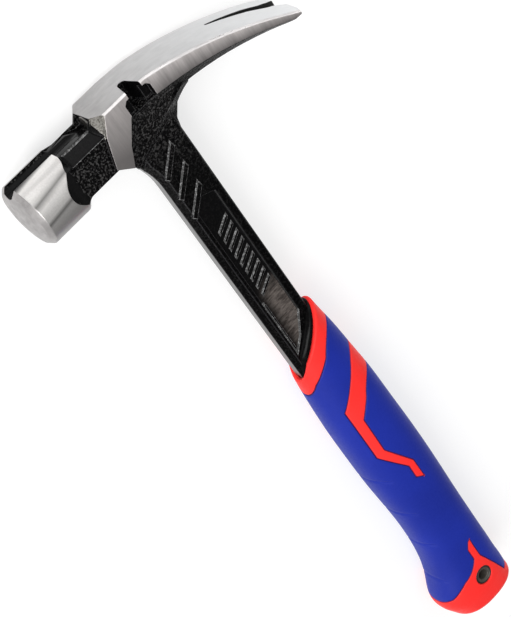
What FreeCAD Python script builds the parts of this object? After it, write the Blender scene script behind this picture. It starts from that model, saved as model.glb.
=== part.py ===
import FreeCAD, Part
import Sketcher
import math
import os
from FreeCAD import Vector

# One-piece forged rip-claw hammer, lying on its side.
# Local datum: the striking axis meets the handle centreline.
# Local X runs up the handle to the head top, Y to the striking face, Z out of the upper side.
# All sizes are millimetres. A drop is measured down the handle from the datum.

SIZES = {
    # Reach of the whole hammer from the datum
    "head_top": 15.6,
    "face_reach": 64.0,
    "claw_reach": 77.4,
    "butt_reach": 326.4,

    # Striking end
    "face_radius": 15.0,
    "face_crown": 1.7,
    "face_chamfer": 2.0,
    "flare_start": 38.0,
    "flare_end": 47.6,
    "neck_root": 12.0,
    "neck_top": 12.3,
    "neck_top_half_width": 6.2,
    "neck_side": 11.0,
    "neck_side_rise": 7.6,
    "neck_bottom": 10.4,
    "neck_bottom_half_width": 5.0,

    # Nail starter: groove, seat and magnet
    "groove_radius": 3.9,
    "groove_floor": 10.9,
    "seat_length": 9.0,
    "seat_half_width": 5.8,
    "seat_depth": 2.2,
    "magnet_radius": 3.0,
    "magnet_length": 4.0,
    "magnet_chamfer": 0.25,
    "magnet_height": 12.2,
    "magnet_stand_out": 0.4,

    # Head block and cheek bands
    "cheek_half_width": 12.3,
    "edge_bevel": 0.9,
    "cheek_top_front": 15.9,
    "nose_top_front": 20.0,
    "cheek_knee_height": 6.6,
    "cheek_knee_front": 20.6,
    "nose_knee_height": 11.6,
    "nose_knee_front": 23.2,
    "cheek_foot_drop": 6.4,
    "cheek_foot_front": 24.7,
    "cheek_heel_drop": 11.4,
    "cheek_heel_front": 18.0,
    "band_waist_drop": 3.2,
    "band_waist_front": 14.0,
    "band_shoulder_height": 6.0,
    "band_shoulder_front": 7.3,
    "claw_joint": 6.0,

    # Side nail puller
    "notch_half_width": 3.7,
    "notch_root_half_width": 2.0,
    "notch_root": 4.3,
    "notch_floor_height": 5.4,
    "window_half_width": 6.8,
    "window_top_height": 12.7,
    "window_depth": 3.0,
    "window_corner": 1.6,

    # Claw
    "claw_bend_start": 3.7,
    "claw_bend_radius": 78.0,
    "claw_bend_angle": 11.0,
    "claw_tail_radius": 175.0,
    "claw_crown": 1.8,
    "claw_half_width": 16.4,
    "claw_tip_half_width": 15.6,
    "claw_root_thickness": 15.5,
    "claw_tip_thickness": 4.7,
    "claw_edge_thickness": 2.4,
    "claw_root_band": 9.3,
    "claw_tip_band": 3.1,
    "claw_belly_inset": 4.5,
    "tip_bevel_length": 5.0,
    "slot_length": 32.4,
    "slot_root_half_width": 0.6,
    "slot_flare": 3.8,
    "slot_mouth_half_width": 3.6,
    "tip_corner": 3.6,

    # Web between the cheeks and the shank
    "web_top_half_width": 11.4,
    "web_top_height": 6.2,
    "web_middle_half_width": 8.8,
    "web_middle_drop": 4.0,
    "web_bottom_drop": 22.0,
    "web_crease_back_drop": 2.7,
    "web_crease_back": 15.3,
    "web_crease_front_drop": 9.0,
    "web_crease_front": 2.5,
    "web_crease_half_width": 8.5,
    "web_crease_run": 4.2,

    # Shank
    "shank_half_thickness": 5.0,
    "shank_front": 10.5,
    "shank_back": 10.4,
    "shank_front_low": 9.7,
    "shank_back_low": 10.9,
    "front_fillet": 33.0,
    "front_fillet_drop": 33.0,
    "front_fillet_turn": 50.0,
    "front_shank_turn": 22.0,
    "back_fillet": 13.0,
    "back_fillet_drop": 17.0,
    "back_fillet_turn": 88.0,
    "back_shank_turn": 40.0,
    "front_corner": 2.6,
    "back_corner": 1.8,
    "shank_end_drop": 152.0,

    # Raised ribs below the head
    "rib_width": 2.5,
    "rib_rise": 0.7,
    "rib_pitch": 10.9,
    "rib_tip_drop": 17.7,
    "rib_tip_back": 2.3,
    "rib_length": 16.0,

    # Side panel with its row of slanted bars
    "panel_depth": 0.8,
    "panel_top_drop": 46.5,
    "panel_front": 5.7,
    "panel_back": 6.2,
    "panel_shoulder_drop": 121.5,
    "panel_tip_drop": 138.0,
    "bar_pitch": 4.6,
    "bar_width": 1.7,
    "bar_length": 7.4,
    "bar_rise": 0.6,
    "bar_start_drop": 64.0,
    "bar_centre_back": 0.7,
    "bar_lean": 2.2,
    "fin_width": 1.1,
    "fin_start_drop": 106.0,

    # Tang inside the grip
    "tang_front": 6.5,
    "tang_back": 8.5,
    "tang_half_thickness": 2.5,
    "tang_end_gap": 15.3,
    "lock_hole_radius": 3.0,

    # Grip
    "grip_top_drop": 112.0,
    "grip_half_depth": 16.8,
    "grip_half_thickness": 13.2,
    "soft_wall": 2.2,
    "mouth_wall": 1.5,
    "mouth_back_drop": 124.5,
    "mouth_back": 13.9,
    "mouth_front_drop": 152.5,
    "mouth_front": 12.2,
    "core_lip": 3.4,
    "core_end_wall": 3.7,

    # Hanging hole
    "hang_inset": 21.1,
    "hang_back": 2.8,
    "eyelet_bore": 2.6,
    "eyelet_wall": 0.9,
    "eyelet_flange": 4.7,
    "eyelet_flange_thickness": 1.0,
    "eyelet_half_length": 13.6,

    # General working values
    "overrun": 2.0,
    "fit_gap": 0.1,
}
RIBS = 3
BARS = 9
RIB_TIP_SHARE = 0.5
PICK_SHARE = 0.1
PANEL_NOSE_SHARE = 0.4
FIN_END_SHARE = 0.5
WEB_STEP_SHARE = 0.85

doc = FreeCAD.newDocument("Hammer")
sheet = doc.addObject("Spreadsheet::Sheet", "Sizes")
for row, (name, value) in enumerate(SIZES.items(), 1):
    sheet.set("A%d" % row, name)
    sheet.set("B%d" % row, str(value))
    sheet.setAlias("B%d" % row, name)
doc.recompute()


def mm(name):
    return float(sheet.get(name))


# Placement of the datum: the origin is the middle of the hammer's footprint, on the surface it lies on.
SHIFT_X = "(Sizes.butt_reach - Sizes.head_top) / 2"
SHIFT_Y = "(Sizes.claw_reach - Sizes.face_reach) / 2"
SHIFT_Z = "Sizes.claw_half_width"

# Places measured back from the butt end: the hanging hole, and the tang's end before it
HANG_DROP = "(Sizes.butt_reach - Sizes.hang_inset)"
TANG_DROP = "(Sizes.butt_reach - Sizes.hang_inset - Sizes.tang_end_gap)"


def feature(name, shape):
    item = doc.addObject("Part::Feature", name)
    item.Shape = shape
    return item


def wire(points):
    """Closed wire. An entry is a corner, or a pair (point on the arc, end of the arc)."""
    edges = []
    last = Vector(*points[0])
    for entry in list(points[1:]) + [points[0]]:
        if isinstance(entry[0], (tuple, list)):
            middle, end = Vector(*entry[0]), Vector(*entry[1])
            edges.append(Part.Arc(last, middle, end).toShape())
        else:
            end = Vector(*entry)
            if end.distanceToPoint(last) < 1e-7:
                continue
            edges.append(Part.LineSegment(last, end).toShape())
        last = end
    return Part.Wire(edges)


def side_face(points, level=0.0):
    """Face in the side view, from (x, y) entries, at a height in Z."""
    lifted = []
    for entry in points:
        if isinstance(entry[0], (tuple, list)):
            lifted.append(tuple((x, y, level) for x, y in entry))
        else:
            lifted.append((entry[0], entry[1], level))
    return Part.Face(wire(lifted))


def extrusion(name, face, direction, length):
    """Extrusion of a face, centred on it, with its length bound to the sheet."""
    base = feature(name + "_profile", face)
    item = doc.addObject("Part::Extrusion", name)
    item.Base = base
    item.DirMode = "Custom"
    item.Dir = Vector(*direction)
    item.Solid = True
    item.Symmetric = True
    item.setExpression("LengthFwd", length)
    return item


def combine(kind, name, base, *tools):
    """Cut, fuse or intersect document objects."""
    if kind == "Cut":
        tool = tools[0]
        if len(tools) > 1:
            tool = doc.addObject("Part::MultiFuse", name + "_tools")
            tool.Shapes = list(tools)
        item = doc.addObject("Part::Cut", name)
        item.Base = base
        item.Tool = tool
    else:
        item = doc.addObject("Part::Multi" + kind, name)
        item.Shapes = [base] + list(tools)
    item.Refine = False
    return item


def cylinder(name, radius, height, position, direction):
    item = doc.addObject("Part::Cylinder", name)
    item.setExpression("Radius", radius)
    item.setExpression("Height", height)
    item.Placement.Rotation = FreeCAD.Rotation(Vector(0, 0, 1), Vector(*direction))
    for axis, place in zip("xyz", position):
        item.setExpression("Placement.Base." + axis, place)
    return item


def subpart(item, label):
    """Give a finished piece its file name and its place in the frame."""
    item.Label = label
    item.setExpression("Placement.Base.x", SHIFT_X)
    item.setExpression("Placement.Base.y", SHIFT_Y)
    item.setExpression("Placement.Base.z", SHIFT_Z)
    return item


# Striking end: turned ring with a crowned face, on an eight-sided neck that flares into it

def face_ring():
    radius, chamfer = mm("face_radius"), mm("face_chamfer")
    rim = mm("face_reach") - mm("face_crown")
    crown_radius = (radius - chamfer) ** 2 / (2 * mm("face_crown")) + mm("face_crown") / 2
    centre = mm("face_reach") - crown_radius
    half = math.asin((radius - chamfer) / crown_radius) / 2
    crown_middle = (crown_radius * math.sin(half), centre + crown_radius * math.cos(half), 0)
    outline = wire([
        (0, mm("flare_end"), 0),
        (radius, mm("flare_end"), 0),
        (radius, rim - chamfer, 0),
        (radius - chamfer, rim, 0),
        (crown_middle, (0, mm("face_reach"), 0)),
    ])
    profile = feature("face_ring_profile", Part.Face(outline))
    ring = doc.addObject("Part::Revolution", "face_ring")
    ring.Source = profile
    ring.Axis = Vector(0, 1, 0)
    ring.Angle = 360
    ring.Solid = True
    return ring


def neck_section(y, growth=1.0, side_growth=1.0):
    top, top_half = mm("neck_top") * growth, mm("neck_top_half_width") * growth
    rise, side = mm("neck_side_rise") * side_growth, mm("neck_side") * side_growth
    bottom, bottom_half = mm("neck_bottom") * growth, mm("neck_bottom_half_width") * growth
    right = [(top, top_half), (rise, side), (-rise, side), (-bottom, bottom_half)]
    loop = right + [(x, -z) for x, z in reversed(right)]
    return wire([(x, y, z) for x, z in loop])


# Distance along the flare, growth of the top and bottom, growth of the sides
FLARE_SHARES = (
    (0.0, 1.0, 1.0),
    (0.1, 1.05, 1.01),
    (0.2, 1.22, 1.03),
    (0.36, 1.31, 1.10),
    (0.55, 1.39, 1.20),
    (0.8, 1.46, 1.31),
    (1.0, 1.51, 1.42),
)


def neck():
    root, start, end = mm("neck_root"), mm("flare_start"), mm("flare_end")
    straight = Part.makeLoft([neck_section(root), neck_section(start)], True, True)
    stations = [neck_section(start + (end - start) * along, *growths) for along, *growths in FLARE_SHARES]
    flare = Part.makeLoft(stations, True, False)
    flare_item = feature("neck_flare_full", flare)
    turned = cylinder("neck_flare_turning", "Sizes.face_radius", "Sizes.flare_end - Sizes.flare_start",
                      ("0", "Sizes.flare_start", "0"), (0, 1, 0))
    return feature("neck_straight", straight), combine("Common", "neck_flare", flare_item, turned)


# Head block: one section at the cheek, a bevelled one just inside it, and the nose section

def head_block():
    top, bevel, half = mm("head_top"), mm("edge_bevel"), mm("cheek_half_width")
    joint, bend = -mm("claw_joint"), mm("claw_bend_start")
    fall = top - claw_top(joint)
    lower = [
        (-mm("band_waist_drop"), mm("band_waist_front")),
        (mm("band_shoulder_height"), mm("band_shoulder_front")),
        (top - mm("claw_root_band"), joint),
    ]
    foot = (-mm("cheek_foot_drop"), mm("cheek_foot_front"))
    heel = (-mm("cheek_heel_drop"), mm("cheek_heel_front"))

    def outline(level, upper, front, knee):
        """The top runs down with the claw's bend before it meets the claw."""
        points = [(upper - fall, joint), (upper, bend), (upper, front), knee, foot, heel]
        return wire([(x, y, level) for x, y in points + lower])

    def cheek(level, upper, front):
        return outline(level, upper, front, (mm("cheek_knee_height"), mm("cheek_knee_front")))

    def nose(level):
        return outline(level, top, mm("nose_top_front"), (mm("nose_knee_height"), mm("nose_knee_front")))

    inner = mm("neck_top_half_width")
    share = (half - bevel - inner) / (half - inner)
    front = mm("nose_top_front") + (mm("cheek_top_front") - mm("nose_top_front")) * share
    shoulder = cheek(half - bevel, top, front)
    flat = cheek(half, top - bevel, mm("cheek_top_front"))
    parts = [
        Part.makeLoft([nose(-inner), nose(inner)], True, True),
        Part.makeLoft([nose(inner), shoulder], True, True),
        Part.makeLoft([shoulder, flat], True, True),
    ]
    flip = FreeCAD.Matrix()
    flip.scale(1, 1, -1)
    parts += [shape.transformGeometry(flip) for shape in parts[1:]]
    return [feature("head_slab_%d" % number, shape) for number, shape in enumerate(parts)]


# Claw: sections across it, from the head block to the tip

def claw_top(y):
    """Height of the claw's top edge at a distance y from the handle centreline."""
    out = mm("claw_bend_start") - y
    radius, turn = mm("claw_bend_radius"), math.radians(mm("claw_bend_angle"))
    if out <= 0:
        return mm("head_top")
    if out <= radius * math.sin(turn):
        return mm("head_top") - radius + math.sqrt(radius * radius - out * out)
    rest = out - radius * math.sin(turn)
    straight = radius * (1 - math.cos(turn)) + rest * math.tan(turn)
    return mm("head_top") - straight - rest * rest / (2 * mm("claw_tail_radius"))


# Distance along the claw, widening, crown
CLAW_SHARES = (
    (0.0, 0.0, 0.0),
    (0.112, 0.15, 0.2),
    (0.196, 0.24, 0.4),
    (0.28, 0.31, 0.62),
    (0.364, 0.36, 0.8),
    (0.448, 0.42, 0.92),
    (0.532, 0.5, 1.0),
    (0.616, 0.6, 1.0),
    (0.714, 0.72, 0.95),
    (0.812, 0.85, 0.85),
    (0.93, 1.0, 0.7),
)
TIP_BAND_SHARE = 0.6


def claw_section(y, half, crown, thickness, band):
    top, bevel = claw_top(y), mm("edge_bevel")
    right = [(top - bevel, half), (top - band, half), (top - thickness, half - mm("claw_belly_inset"))]
    left = [(x, -z) for x, z in reversed(right)]
    points = [(x, y, z) for x, z in right + left]
    start, end = (top, y, bevel - half), (top, y, half - bevel)
    if crown:
        return wire([start, ((top + crown, y, 0), end)] + points)
    return wire([start, end] + points)


def claw():
    near, reach = mm("claw_joint"), mm("claw_reach")
    stations = []
    for along, widening, crown in CLAW_SHARES:
        half = mm("cheek_half_width") + (mm("claw_half_width") - mm("cheek_half_width")) * widening
        y = near + (reach - near) * along
        if along == CLAW_SHARES[-1][0]:
            y = reach - mm("tip_bevel_length")
        run = (y - near) / (reach - near)
        thickness = mm("claw_root_thickness") + (mm("claw_tip_thickness") - mm("claw_root_thickness")) * run
        band = mm("claw_root_band") + (mm("claw_tip_band") - mm("claw_root_band")) * run
        stations.append(claw_section(-y, half, mm("claw_crown") * crown, thickness, band))
    body = Part.makeLoft(stations, True, False)
    edge, tip_crown = mm("claw_edge_thickness"), mm("claw_crown") * CLAW_SHARES[-1][2]
    tip = claw_section(-reach, mm("claw_tip_half_width"), tip_crown, edge, edge * TIP_BAND_SHARE)
    nose = Part.makeLoft([stations[-1], tip], True, True)
    return [feature("claw_blade", body), feature("claw_tip", nose)]


def claw_cuts():
    """Nail slot with a round root, and the two chamfered outer corners of the tip."""
    reach, run = mm("claw_reach"), mm("overrun")
    root, mouth = reach - mm("slot_length"), reach - mm("slot_flare")
    narrow, wide, corner = mm("slot_root_half_width"), mm("slot_mouth_half_width"), mm("tip_corner")
    side = [(-root, narrow), (-mouth, wide), (-reach, wide + corner / 2), (-reach - run, wide + corner)]
    loop = [(0, y, z) for y, z in side] + [(0, y, -z) for y, z in reversed(side)]
    loop.append(((0, -root + narrow, 0), loop[0]))
    through = "2 * (Sizes.head_top + Sizes.claw_reach)"
    cuts = [extrusion("claw_slot", Part.Face(wire(loop)), (1, 0, 0), through)]
    for name, sign in (("tip_corner_upper", 1), ("tip_corner_lower", -1)):
        outer = (mm("claw_half_width") + run) * sign
        inner = (mm("claw_tip_half_width") - corner) * sign
        points = [(0, -reach - run, outer), (0, -reach - run, inner), (0, -reach, inner),
                  (0, -reach + corner / 2, outer)]
        cuts.append(extrusion(name, Part.Face(wire(points)), (1, 0, 0), through))
    return cuts


# Side nail puller: a V notch through the top edge and a shallow window in the upper cheek

def notch_cuts():
    top, run, half = mm("head_top"), mm("overrun"), mm("cheek_half_width")
    floor = mm("notch_floor_height")
    mouth, root = mm("notch_half_width"), mm("notch_root_half_width")
    spread = (mouth - root) / (half - mm("notch_root")) * run
    deep = mm("notch_root")
    wide = mouth + spread
    loop = [(floor, root, deep), ((floor, 0, deep - root), (floor, -root, deep)),
            (floor, -wide, half + run), (floor, wide, half + run)]
    prism = Part.Face(wire(loop)).extrude(Vector(top - floor + run, 0, 0))
    vee = feature("notch_vee", prism)
    high, side, corner = mm("window_top_height"), mm("window_half_width"), mm("window_corner")
    points = [(floor, -side), (high - corner, -side), (high, -side + corner), (high, side - corner),
              (high - corner, side), (floor, side)]
    level = half - mm("window_depth")
    window = side_face(points, level).extrude(Vector(0, 0, mm("window_depth") + run))
    return vee, feature("notch_window", window)


# Web and shank

def front_edge(turn):
    """Point on the front edge, a turn in degrees up the fillet that runs into the cheek."""
    angle = math.radians(turn)
    radius = mm("front_fillet")
    x, y = radius * math.sin(angle), radius * (1 - math.cos(angle))
    return x - mm("front_fillet_drop"), y + mm("shank_front")


def back_edge(turn):
    """Point on the back edge, a turn in degrees up the fillet that runs into the claw."""
    angle = math.radians(turn)
    radius = mm("back_fillet")
    x, y = radius * math.sin(angle), radius * (1 - math.cos(angle))
    return x - mm("back_fillet_drop"), -y - mm("shank_back")


def long_edges(shape, sign, size):
    """Edges along the front (sign 1) or back (sign -1) corners of the shank, for a fillet or chamfer."""
    picks = []
    half = mm("shank_half_thickness")
    for number, edge in enumerate(shape.Edges, 1):
        corner = edge.BoundBox
        flat = corner.ZLength < half * PICK_SHARE and abs(abs(corner.ZMax) - half) < half * PICK_SHARE
        outer = min(sign * corner.YMin, sign * corner.YMax) > half
        if flat and outer and corner.XLength > half:
            picks.append((number, size, size))
    return picks


def shank():
    top, end = -mm("web_middle_drop"), -mm("shank_end_drop")
    front, back = mm("front_shank_turn"), mm("back_shank_turn")
    outline = [
        (end, mm("shank_front_low")),
        front_edge(0),
        (front_edge(front / 2), front_edge(front)),
        (top, front_edge(front)[1]),
        (top, back_edge(back)[1]),
        back_edge(back),
        (back_edge(back / 2), back_edge(0)),
        (end, -mm("shank_back_low")),
    ]
    blank = extrusion("shank_blank", side_face(outline), (0, 0, 1), "2 * Sizes.shank_half_thickness")
    doc.recompute()
    ground = doc.addObject("Part::Chamfer", "shank_ground_edge")
    ground.Base = blank
    ground.Edges = long_edges(blank.Shape, 1, mm("front_corner"))
    doc.recompute()
    rounded = doc.addObject("Part::Fillet", "shank_bar")
    rounded.Base = ground
    rounded.Edges = long_edges(ground.Shape, -1, mm("back_corner"))
    return rounded


def web():
    """Block that blends the cheeks into the shank, narrowing in width as it goes down."""
    top, middle, bottom = mm("web_top_height"), -mm("web_middle_drop"), -mm("web_bottom_drop")
    start = math.degrees(math.asin((mm("front_fillet_drop") + bottom) / mm("front_fillet")))
    end = mm("front_fillet_turn")
    claw_end = back_edge(90)[1]
    points = [
        front_edge(start),
        (front_edge((start + end) / 2), front_edge(end)),
        (middle, mm("cheek_heel_front")),
        (top, mm("band_shoulder_front") + mm("overrun")),
        (top, claw_end),
        (back_edge(mm("back_fillet_turn"))[0], claw_end),
        (back_edge(mm("back_fillet_turn") / 2), back_edge(0)),
        (bottom, -mm("shank_back")),
    ]
    side = extrusion("web_side", side_face(points), (0, 0, 1), "2 * Sizes.cheek_half_width")
    widths = [(top, mm("web_top_half_width")), (middle, mm("web_middle_half_width")),
              (bottom, mm("shank_half_thickness"))]
    loop = widths + [(x, -z) for x, z in reversed(widths)]
    front = Part.Face(wire([(x, 0, z) for x, z in loop]))
    taper = extrusion("web_taper", front, (0, 1, 0), "2 * Sizes.claw_reach")
    return combine("Common", "web", side, taper, web_step())


def web_step():
    """Room for the web up to its crease, which crosses it from the claw to the ribs, and falls off beyond it."""
    back = Vector(-mm("web_crease_back_drop"), -mm("web_crease_back"), 0)
    front = Vector(-mm("web_crease_front_drop"), mm("web_crease_front"), 0)
    along = (front - back).normalize()
    past = Vector(0, 0, 1).cross(along)
    middle = (front + back) * 0.5
    high, low = mm("web_crease_half_width"), mm("shank_half_thickness")
    fall = (high - low) / mm("web_crease_run")
    ahead, beyond = mm("head_top") + mm("claw_reach"), high * WEB_STEP_SHARE / fall
    sides = [(-ahead, high + ahead * fall), (beyond, high - beyond * fall)]
    corners = [middle + past * s + Vector(0, 0, z) for s, z in sides + [(s, -z) for s, z in reversed(sides)]]
    profile = Part.Face(wire([tuple(corner) for corner in corners]))
    return extrusion("web_step", profile, tuple(along), "2 * Sizes.claw_reach")


# Ribs, panel, bars and fin, the same on both sides of the shank

def both_sides(name, face_at_zero, level, height):
    """Two prisms from one side-view face: one above the mid plane and its mirror image."""
    upper = face_at_zero.copy()
    upper.translate(Vector(0, 0, level))
    prism = upper.extrude(Vector(0, 0, height))
    lower = prism.mirror(Vector(0, 0, 0), Vector(0, 0, 1))
    return [feature(name + "_upper", prism), feature(name + "_lower", lower)]


def ribs():
    """Three slanted bars, each with a pointed upper end."""
    items = []
    slope = 1 / math.sqrt(2)
    width, length, tip = mm("rib_width") * slope, mm("rib_length") * slope, mm("rib_width") * RIB_TIP_SHARE
    for number in range(RIBS):
        x, y = -mm("rib_tip_drop") - mm("rib_pitch") * number, -mm("rib_tip_back")
        points = [(x, y), (x - tip, y + tip), (x - length, y + length),
                  (x - length - width, y + length - width), (x - width - tip, y - width + tip)]
        base, height = mm("shank_half_thickness") - mm("rib_rise"), mm("rib_rise") * 2
        items += both_sides("rib_%d" % number, side_face(points), base, height)
    return items


def panel_points():
    top, shoulder, tip = -mm("panel_top_drop"), -mm("panel_shoulder_drop"), -mm("panel_tip_drop")
    front, back = mm("panel_front"), -mm("panel_back")
    return [
        (top - front, front),
        (top, 0),
        (top + back * PANEL_NOSE_SHARE, back),
        (shoulder, back),
        (tip + front, 0),
        (tip, front),
    ]


def panels():
    base = mm("shank_half_thickness") - mm("panel_depth")
    return both_sides("panel", side_face(panel_points()), base, mm("panel_depth") + mm("overrun"))


def bars():
    items = []
    base = mm("shank_half_thickness") - mm("panel_depth") * 2
    rise = mm("panel_depth") + mm("bar_rise")
    half, width, lean = mm("bar_length") / 2, mm("bar_width") / 2, mm("bar_lean")
    for number in range(BARS):
        x, y = -mm("bar_start_drop") - mm("bar_pitch") * number, -mm("bar_centre_back")
        points = [(x - lean - width, y + half), (x - lean + width, y + half),
                  (x + lean + width, y - half), (x + lean - width, y - half)]
        items += both_sides("bar_%d" % number, side_face(points), base, rise)
    front, start, end = mm("panel_front"), -mm("fin_start_drop"), -mm("panel_tip_drop")
    fin = [(start, front), (start - mm("fin_width"), front - mm("fin_width")),
           (end + front * FIN_END_SHARE, front - mm("fin_width")), (end + mm("fin_width"), front)]
    items += both_sides("fin", side_face(fin), base, mm("panel_depth") * 2 + mm("bar_rise") / 2)
    return items


# Tang, with the holes that the handle core locks through

def tang():
    start = -mm("shank_end_drop") + mm("overrun")
    end = -(mm("butt_reach") - mm("hang_inset") - mm("tang_end_gap"))
    front, back = mm("tang_front"), -mm("tang_back")
    points = [(start, front), (start, back), (end, back), (end, front)]
    return extrusion("tang_plate", side_face(points), (0, 0, 1), "2 * Sizes.tang_half_thickness")


# Places of the holes along the tang, from the shank's end to the tang's end
LOCK_HOLE_SHARES = (0.188, 0.507, 0.826)


def lock_holes():
    holes = []
    middle = "(Sizes.tang_front - Sizes.tang_back) / 2"
    reach = "(Sizes.tang_half_thickness + Sizes.overrun)"
    for number, share in enumerate(LOCK_HOLE_SHARES):
        drop = "-Sizes.shank_end_drop - %s * (%s - Sizes.shank_end_drop)" % (share, TANG_DROP)
        hole = cylinder("lock_hole_%d" % number, "Sizes.lock_hole_radius", "2 * " + reach,
                        (drop, middle, "-" + reach), (0, 0, 1))
        holes.append(hole)
    return holes


# Nail starter cuts and magnet
SEAT_FLAT_SHARE = 0.3
MAGNET_FLOOR = "(Sizes.nose_top_front + Sizes.magnet_stand_out - Sizes.magnet_length)"


def groove_cuts():
    """Groove for the nail, a seat that slopes down to the front wall of the head, and the magnet's pocket."""
    centre = "Sizes.groove_floor + Sizes.groove_radius"
    groove = cylinder("starter_groove", "Sizes.groove_radius", "Sizes.face_reach - Sizes.nose_top_front",
                      (centre, "Sizes.nose_top_front + Sizes.seat_length / 2", "0"), (0, 1, 0))
    wall, floor = mm("nose_top_front"), mm("neck_top") - mm("seat_depth")
    flat, high = wall + mm("seat_length") * SEAT_FLAT_SHARE, mm("head_top") + mm("overrun")
    slope = (wall + mm("seat_length") - flat) / mm("seat_depth")
    side = [(floor, wall), (floor, flat), (high, flat + (high - floor) * slope), (high, wall)]
    seat = extrusion("starter_seat", side_face(side), (0, 0, 1), "2 * Sizes.seat_half_width")
    pocket_place = ("Sizes.magnet_height", MAGNET_FLOOR, "0")
    pocket = cylinder("magnet_pocket", "Sizes.magnet_radius + Sizes.fit_gap",
                      "Sizes.magnet_length + Sizes.overrun", pocket_place, (0, 1, 0))
    return groove, seat, pocket


def magnet():
    body = doc.addObject("PartDesign::Body", "magnet_body")
    sketch = body.newObject("Sketcher::SketchObject", "magnet_circle")
    plane = [item for item in body.Origin.OriginFeatures if item.Role == "XZ_Plane"][0]
    sketch.AttachmentSupport = [(plane, "")]
    sketch.MapMode = "FlatFace"
    sketch.addGeometry(Part.Circle(Vector(0, 0, 0), Vector(0, 0, 1), mm("magnet_radius")), False)
    sketch.addConstraint(Sketcher.Constraint("Coincident", 0, 3, -1, 1))
    sketch.addConstraint(Sketcher.Constraint("Radius", 0, mm("magnet_radius")))
    sketch.setExpression("Constraints[1]", "Sizes.magnet_radius")
    pad = body.newObject("PartDesign::Pad", "magnet_disc")
    pad.Profile = sketch
    pad.Reversed = True
    pad.setExpression("Length", "Sizes.magnet_length")
    doc.recompute()
    chamfer = body.newObject("PartDesign::Chamfer", "magnet_edges")
    rims = ["Edge%d" % number for number, edge in enumerate(pad.Shape.Edges, 1) if len(edge.Vertexes) == 1]
    chamfer.Base = (pad, rims)
    chamfer.setExpression("Size", "Sizes.magnet_chamfer")
    body.Tip = chamfer
    body.Label = "nail_magnet"
    body.setExpression("Placement.Base.x", SHIFT_X + " + Sizes.magnet_height")
    body.setExpression("Placement.Base.y", SHIFT_Y + " + " + MAGNET_FLOOR)
    body.setExpression("Placement.Base.z", SHIFT_Z)
    return body


# Grip: drop, offset to the front, half depth and half thickness, each a share of the size it follows.
# The drop is a share of the way from the top of the grip to the butt.
GRIP_SHARES = (
    (0.00, -0.17, 0.70, 0.72),
    (0.06, -0.173, 0.72, 0.74),
    (0.14, -0.185, 0.83, 0.80),
    (0.21, -0.18, 0.905, 0.885),
    (0.28, -0.188, 0.96, 0.955),
    (0.36, -0.185, 0.985, 0.985),
    (0.45, -0.20, 1.00, 1.00),
    (0.53, -0.215, 0.998, 0.99),
    (0.62, -0.24, 0.96, 0.97),
    (0.69, -0.245, 0.935, 0.96),
    (0.765, -0.22, 0.95, 0.97),
    (0.825, -0.16, 1.005, 1.01),
    (0.865, -0.08, 1.085, 1.05),
    (0.90, 0.01, 1.17, 1.07),
    (0.935, 0.0, 1.17, 1.07),
    (0.965, -0.09, 1.08, 1.01),
    (0.985, -0.17, 0.95, 0.88),
    (1.00, -0.26, 0.60, 0.52),
)
CORE_ROWS = 16
BEND_SHARE = 0.96


def grip_section(row, inset_start, inset):
    """Oval section: flat sides and round ends."""
    along, offset, depth, thickness = row
    drop = mm("grip_top_drop") + (mm("butt_reach") - mm("grip_top_drop")) * along
    wall = inset_start + (inset - inset_start) * min(1.0, along / GRIP_SHARES[3][0])
    centre = mm("grip_half_depth") * offset
    half = mm("grip_half_depth") * depth - wall
    side = mm("grip_half_thickness") * thickness - wall
    bend = min(side, half) * BEND_SHARE
    diagonal = bend / math.sqrt(2)
    flat, low = half - bend, side - bend

    def quarter(sign_y, sign_z, first):
        mid_y = centre + sign_y * (flat + diagonal)
        mid_z = sign_z * (low + diagonal)
        across = (-drop, centre + sign_y * half, sign_z * low)
        over = (-drop, centre + sign_y * flat, sign_z * side)
        start, end = (across, over) if first else (over, across)
        return Part.Arc(Vector(*start), Vector(-drop, mid_y, mid_z), Vector(*end)).toShape()

    turns = [quarter(1, 1, True), quarter(-1, 1, False), quarter(-1, -1, True), quarter(1, -1, False)]
    edges = []
    for turn, following in zip(turns, turns[1:] + turns[:1]):
        start, end = turn.lastVertex(True).Point, following.firstVertex(True).Point
        edges += [turn, Part.LineSegment(start, end).toShape()]
    return Part.Wire(edges)


def grip_solid(name, rows, inset_start, inset):
    return feature(name, Part.makeLoft([grip_section(row, inset_start, inset) for row in rows], True, False))


def mouth_line():
    """Corners of the slanted mouth in the side view: at the back, at its knee and at the front."""
    back = (-mm("mouth_back_drop"), -mm("mouth_back"))
    front = (-mm("mouth_front_drop"), mm("mouth_front"))
    along, across = MOUTH_KNEE_SHARES
    knee = (back[0] + (front[0] - back[0]) * along, back[1] + (front[1] - back[1]) * across)
    return back, knee, front


def past(start, end, times):
    """Point on the line from start to end, carried on past the end by so many times its length."""
    return end[0] + (end[0] - start[0]) * times, end[1] + (end[1] - start[1]) * times


def mouth_cut(name, ahead):
    """Everything on the head's side of the slanted mouth, moved ahead of it along its normal."""
    back, knee, front = mouth_line()
    run, rise = back[0] - knee[0], knee[1] - back[1]
    length = math.hypot(run, rise)
    forward, sideways = ahead * rise / length, ahead * run / length
    back, knee, front = [(x + forward, y + sideways) for x, y in (back, knee, front)]
    low, high = past(knee, back, 1), past(knee, front, 2)
    points = [low, knee, high, (0, high[1]), (0, low[1])]
    return extrusion(name, side_face(points), (0, 0, 1), ZONE_HEIGHT)


def mouth_x(y):
    """Place of the mouth at a distance y in front of the centreline."""
    back, knee, front = mouth_line()
    start, end = (back, knee) if y < knee[1] else (knee, front)
    return start[0] + (end[0] - start[0]) * (y - start[1]) / (end[1] - start[1])


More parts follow.
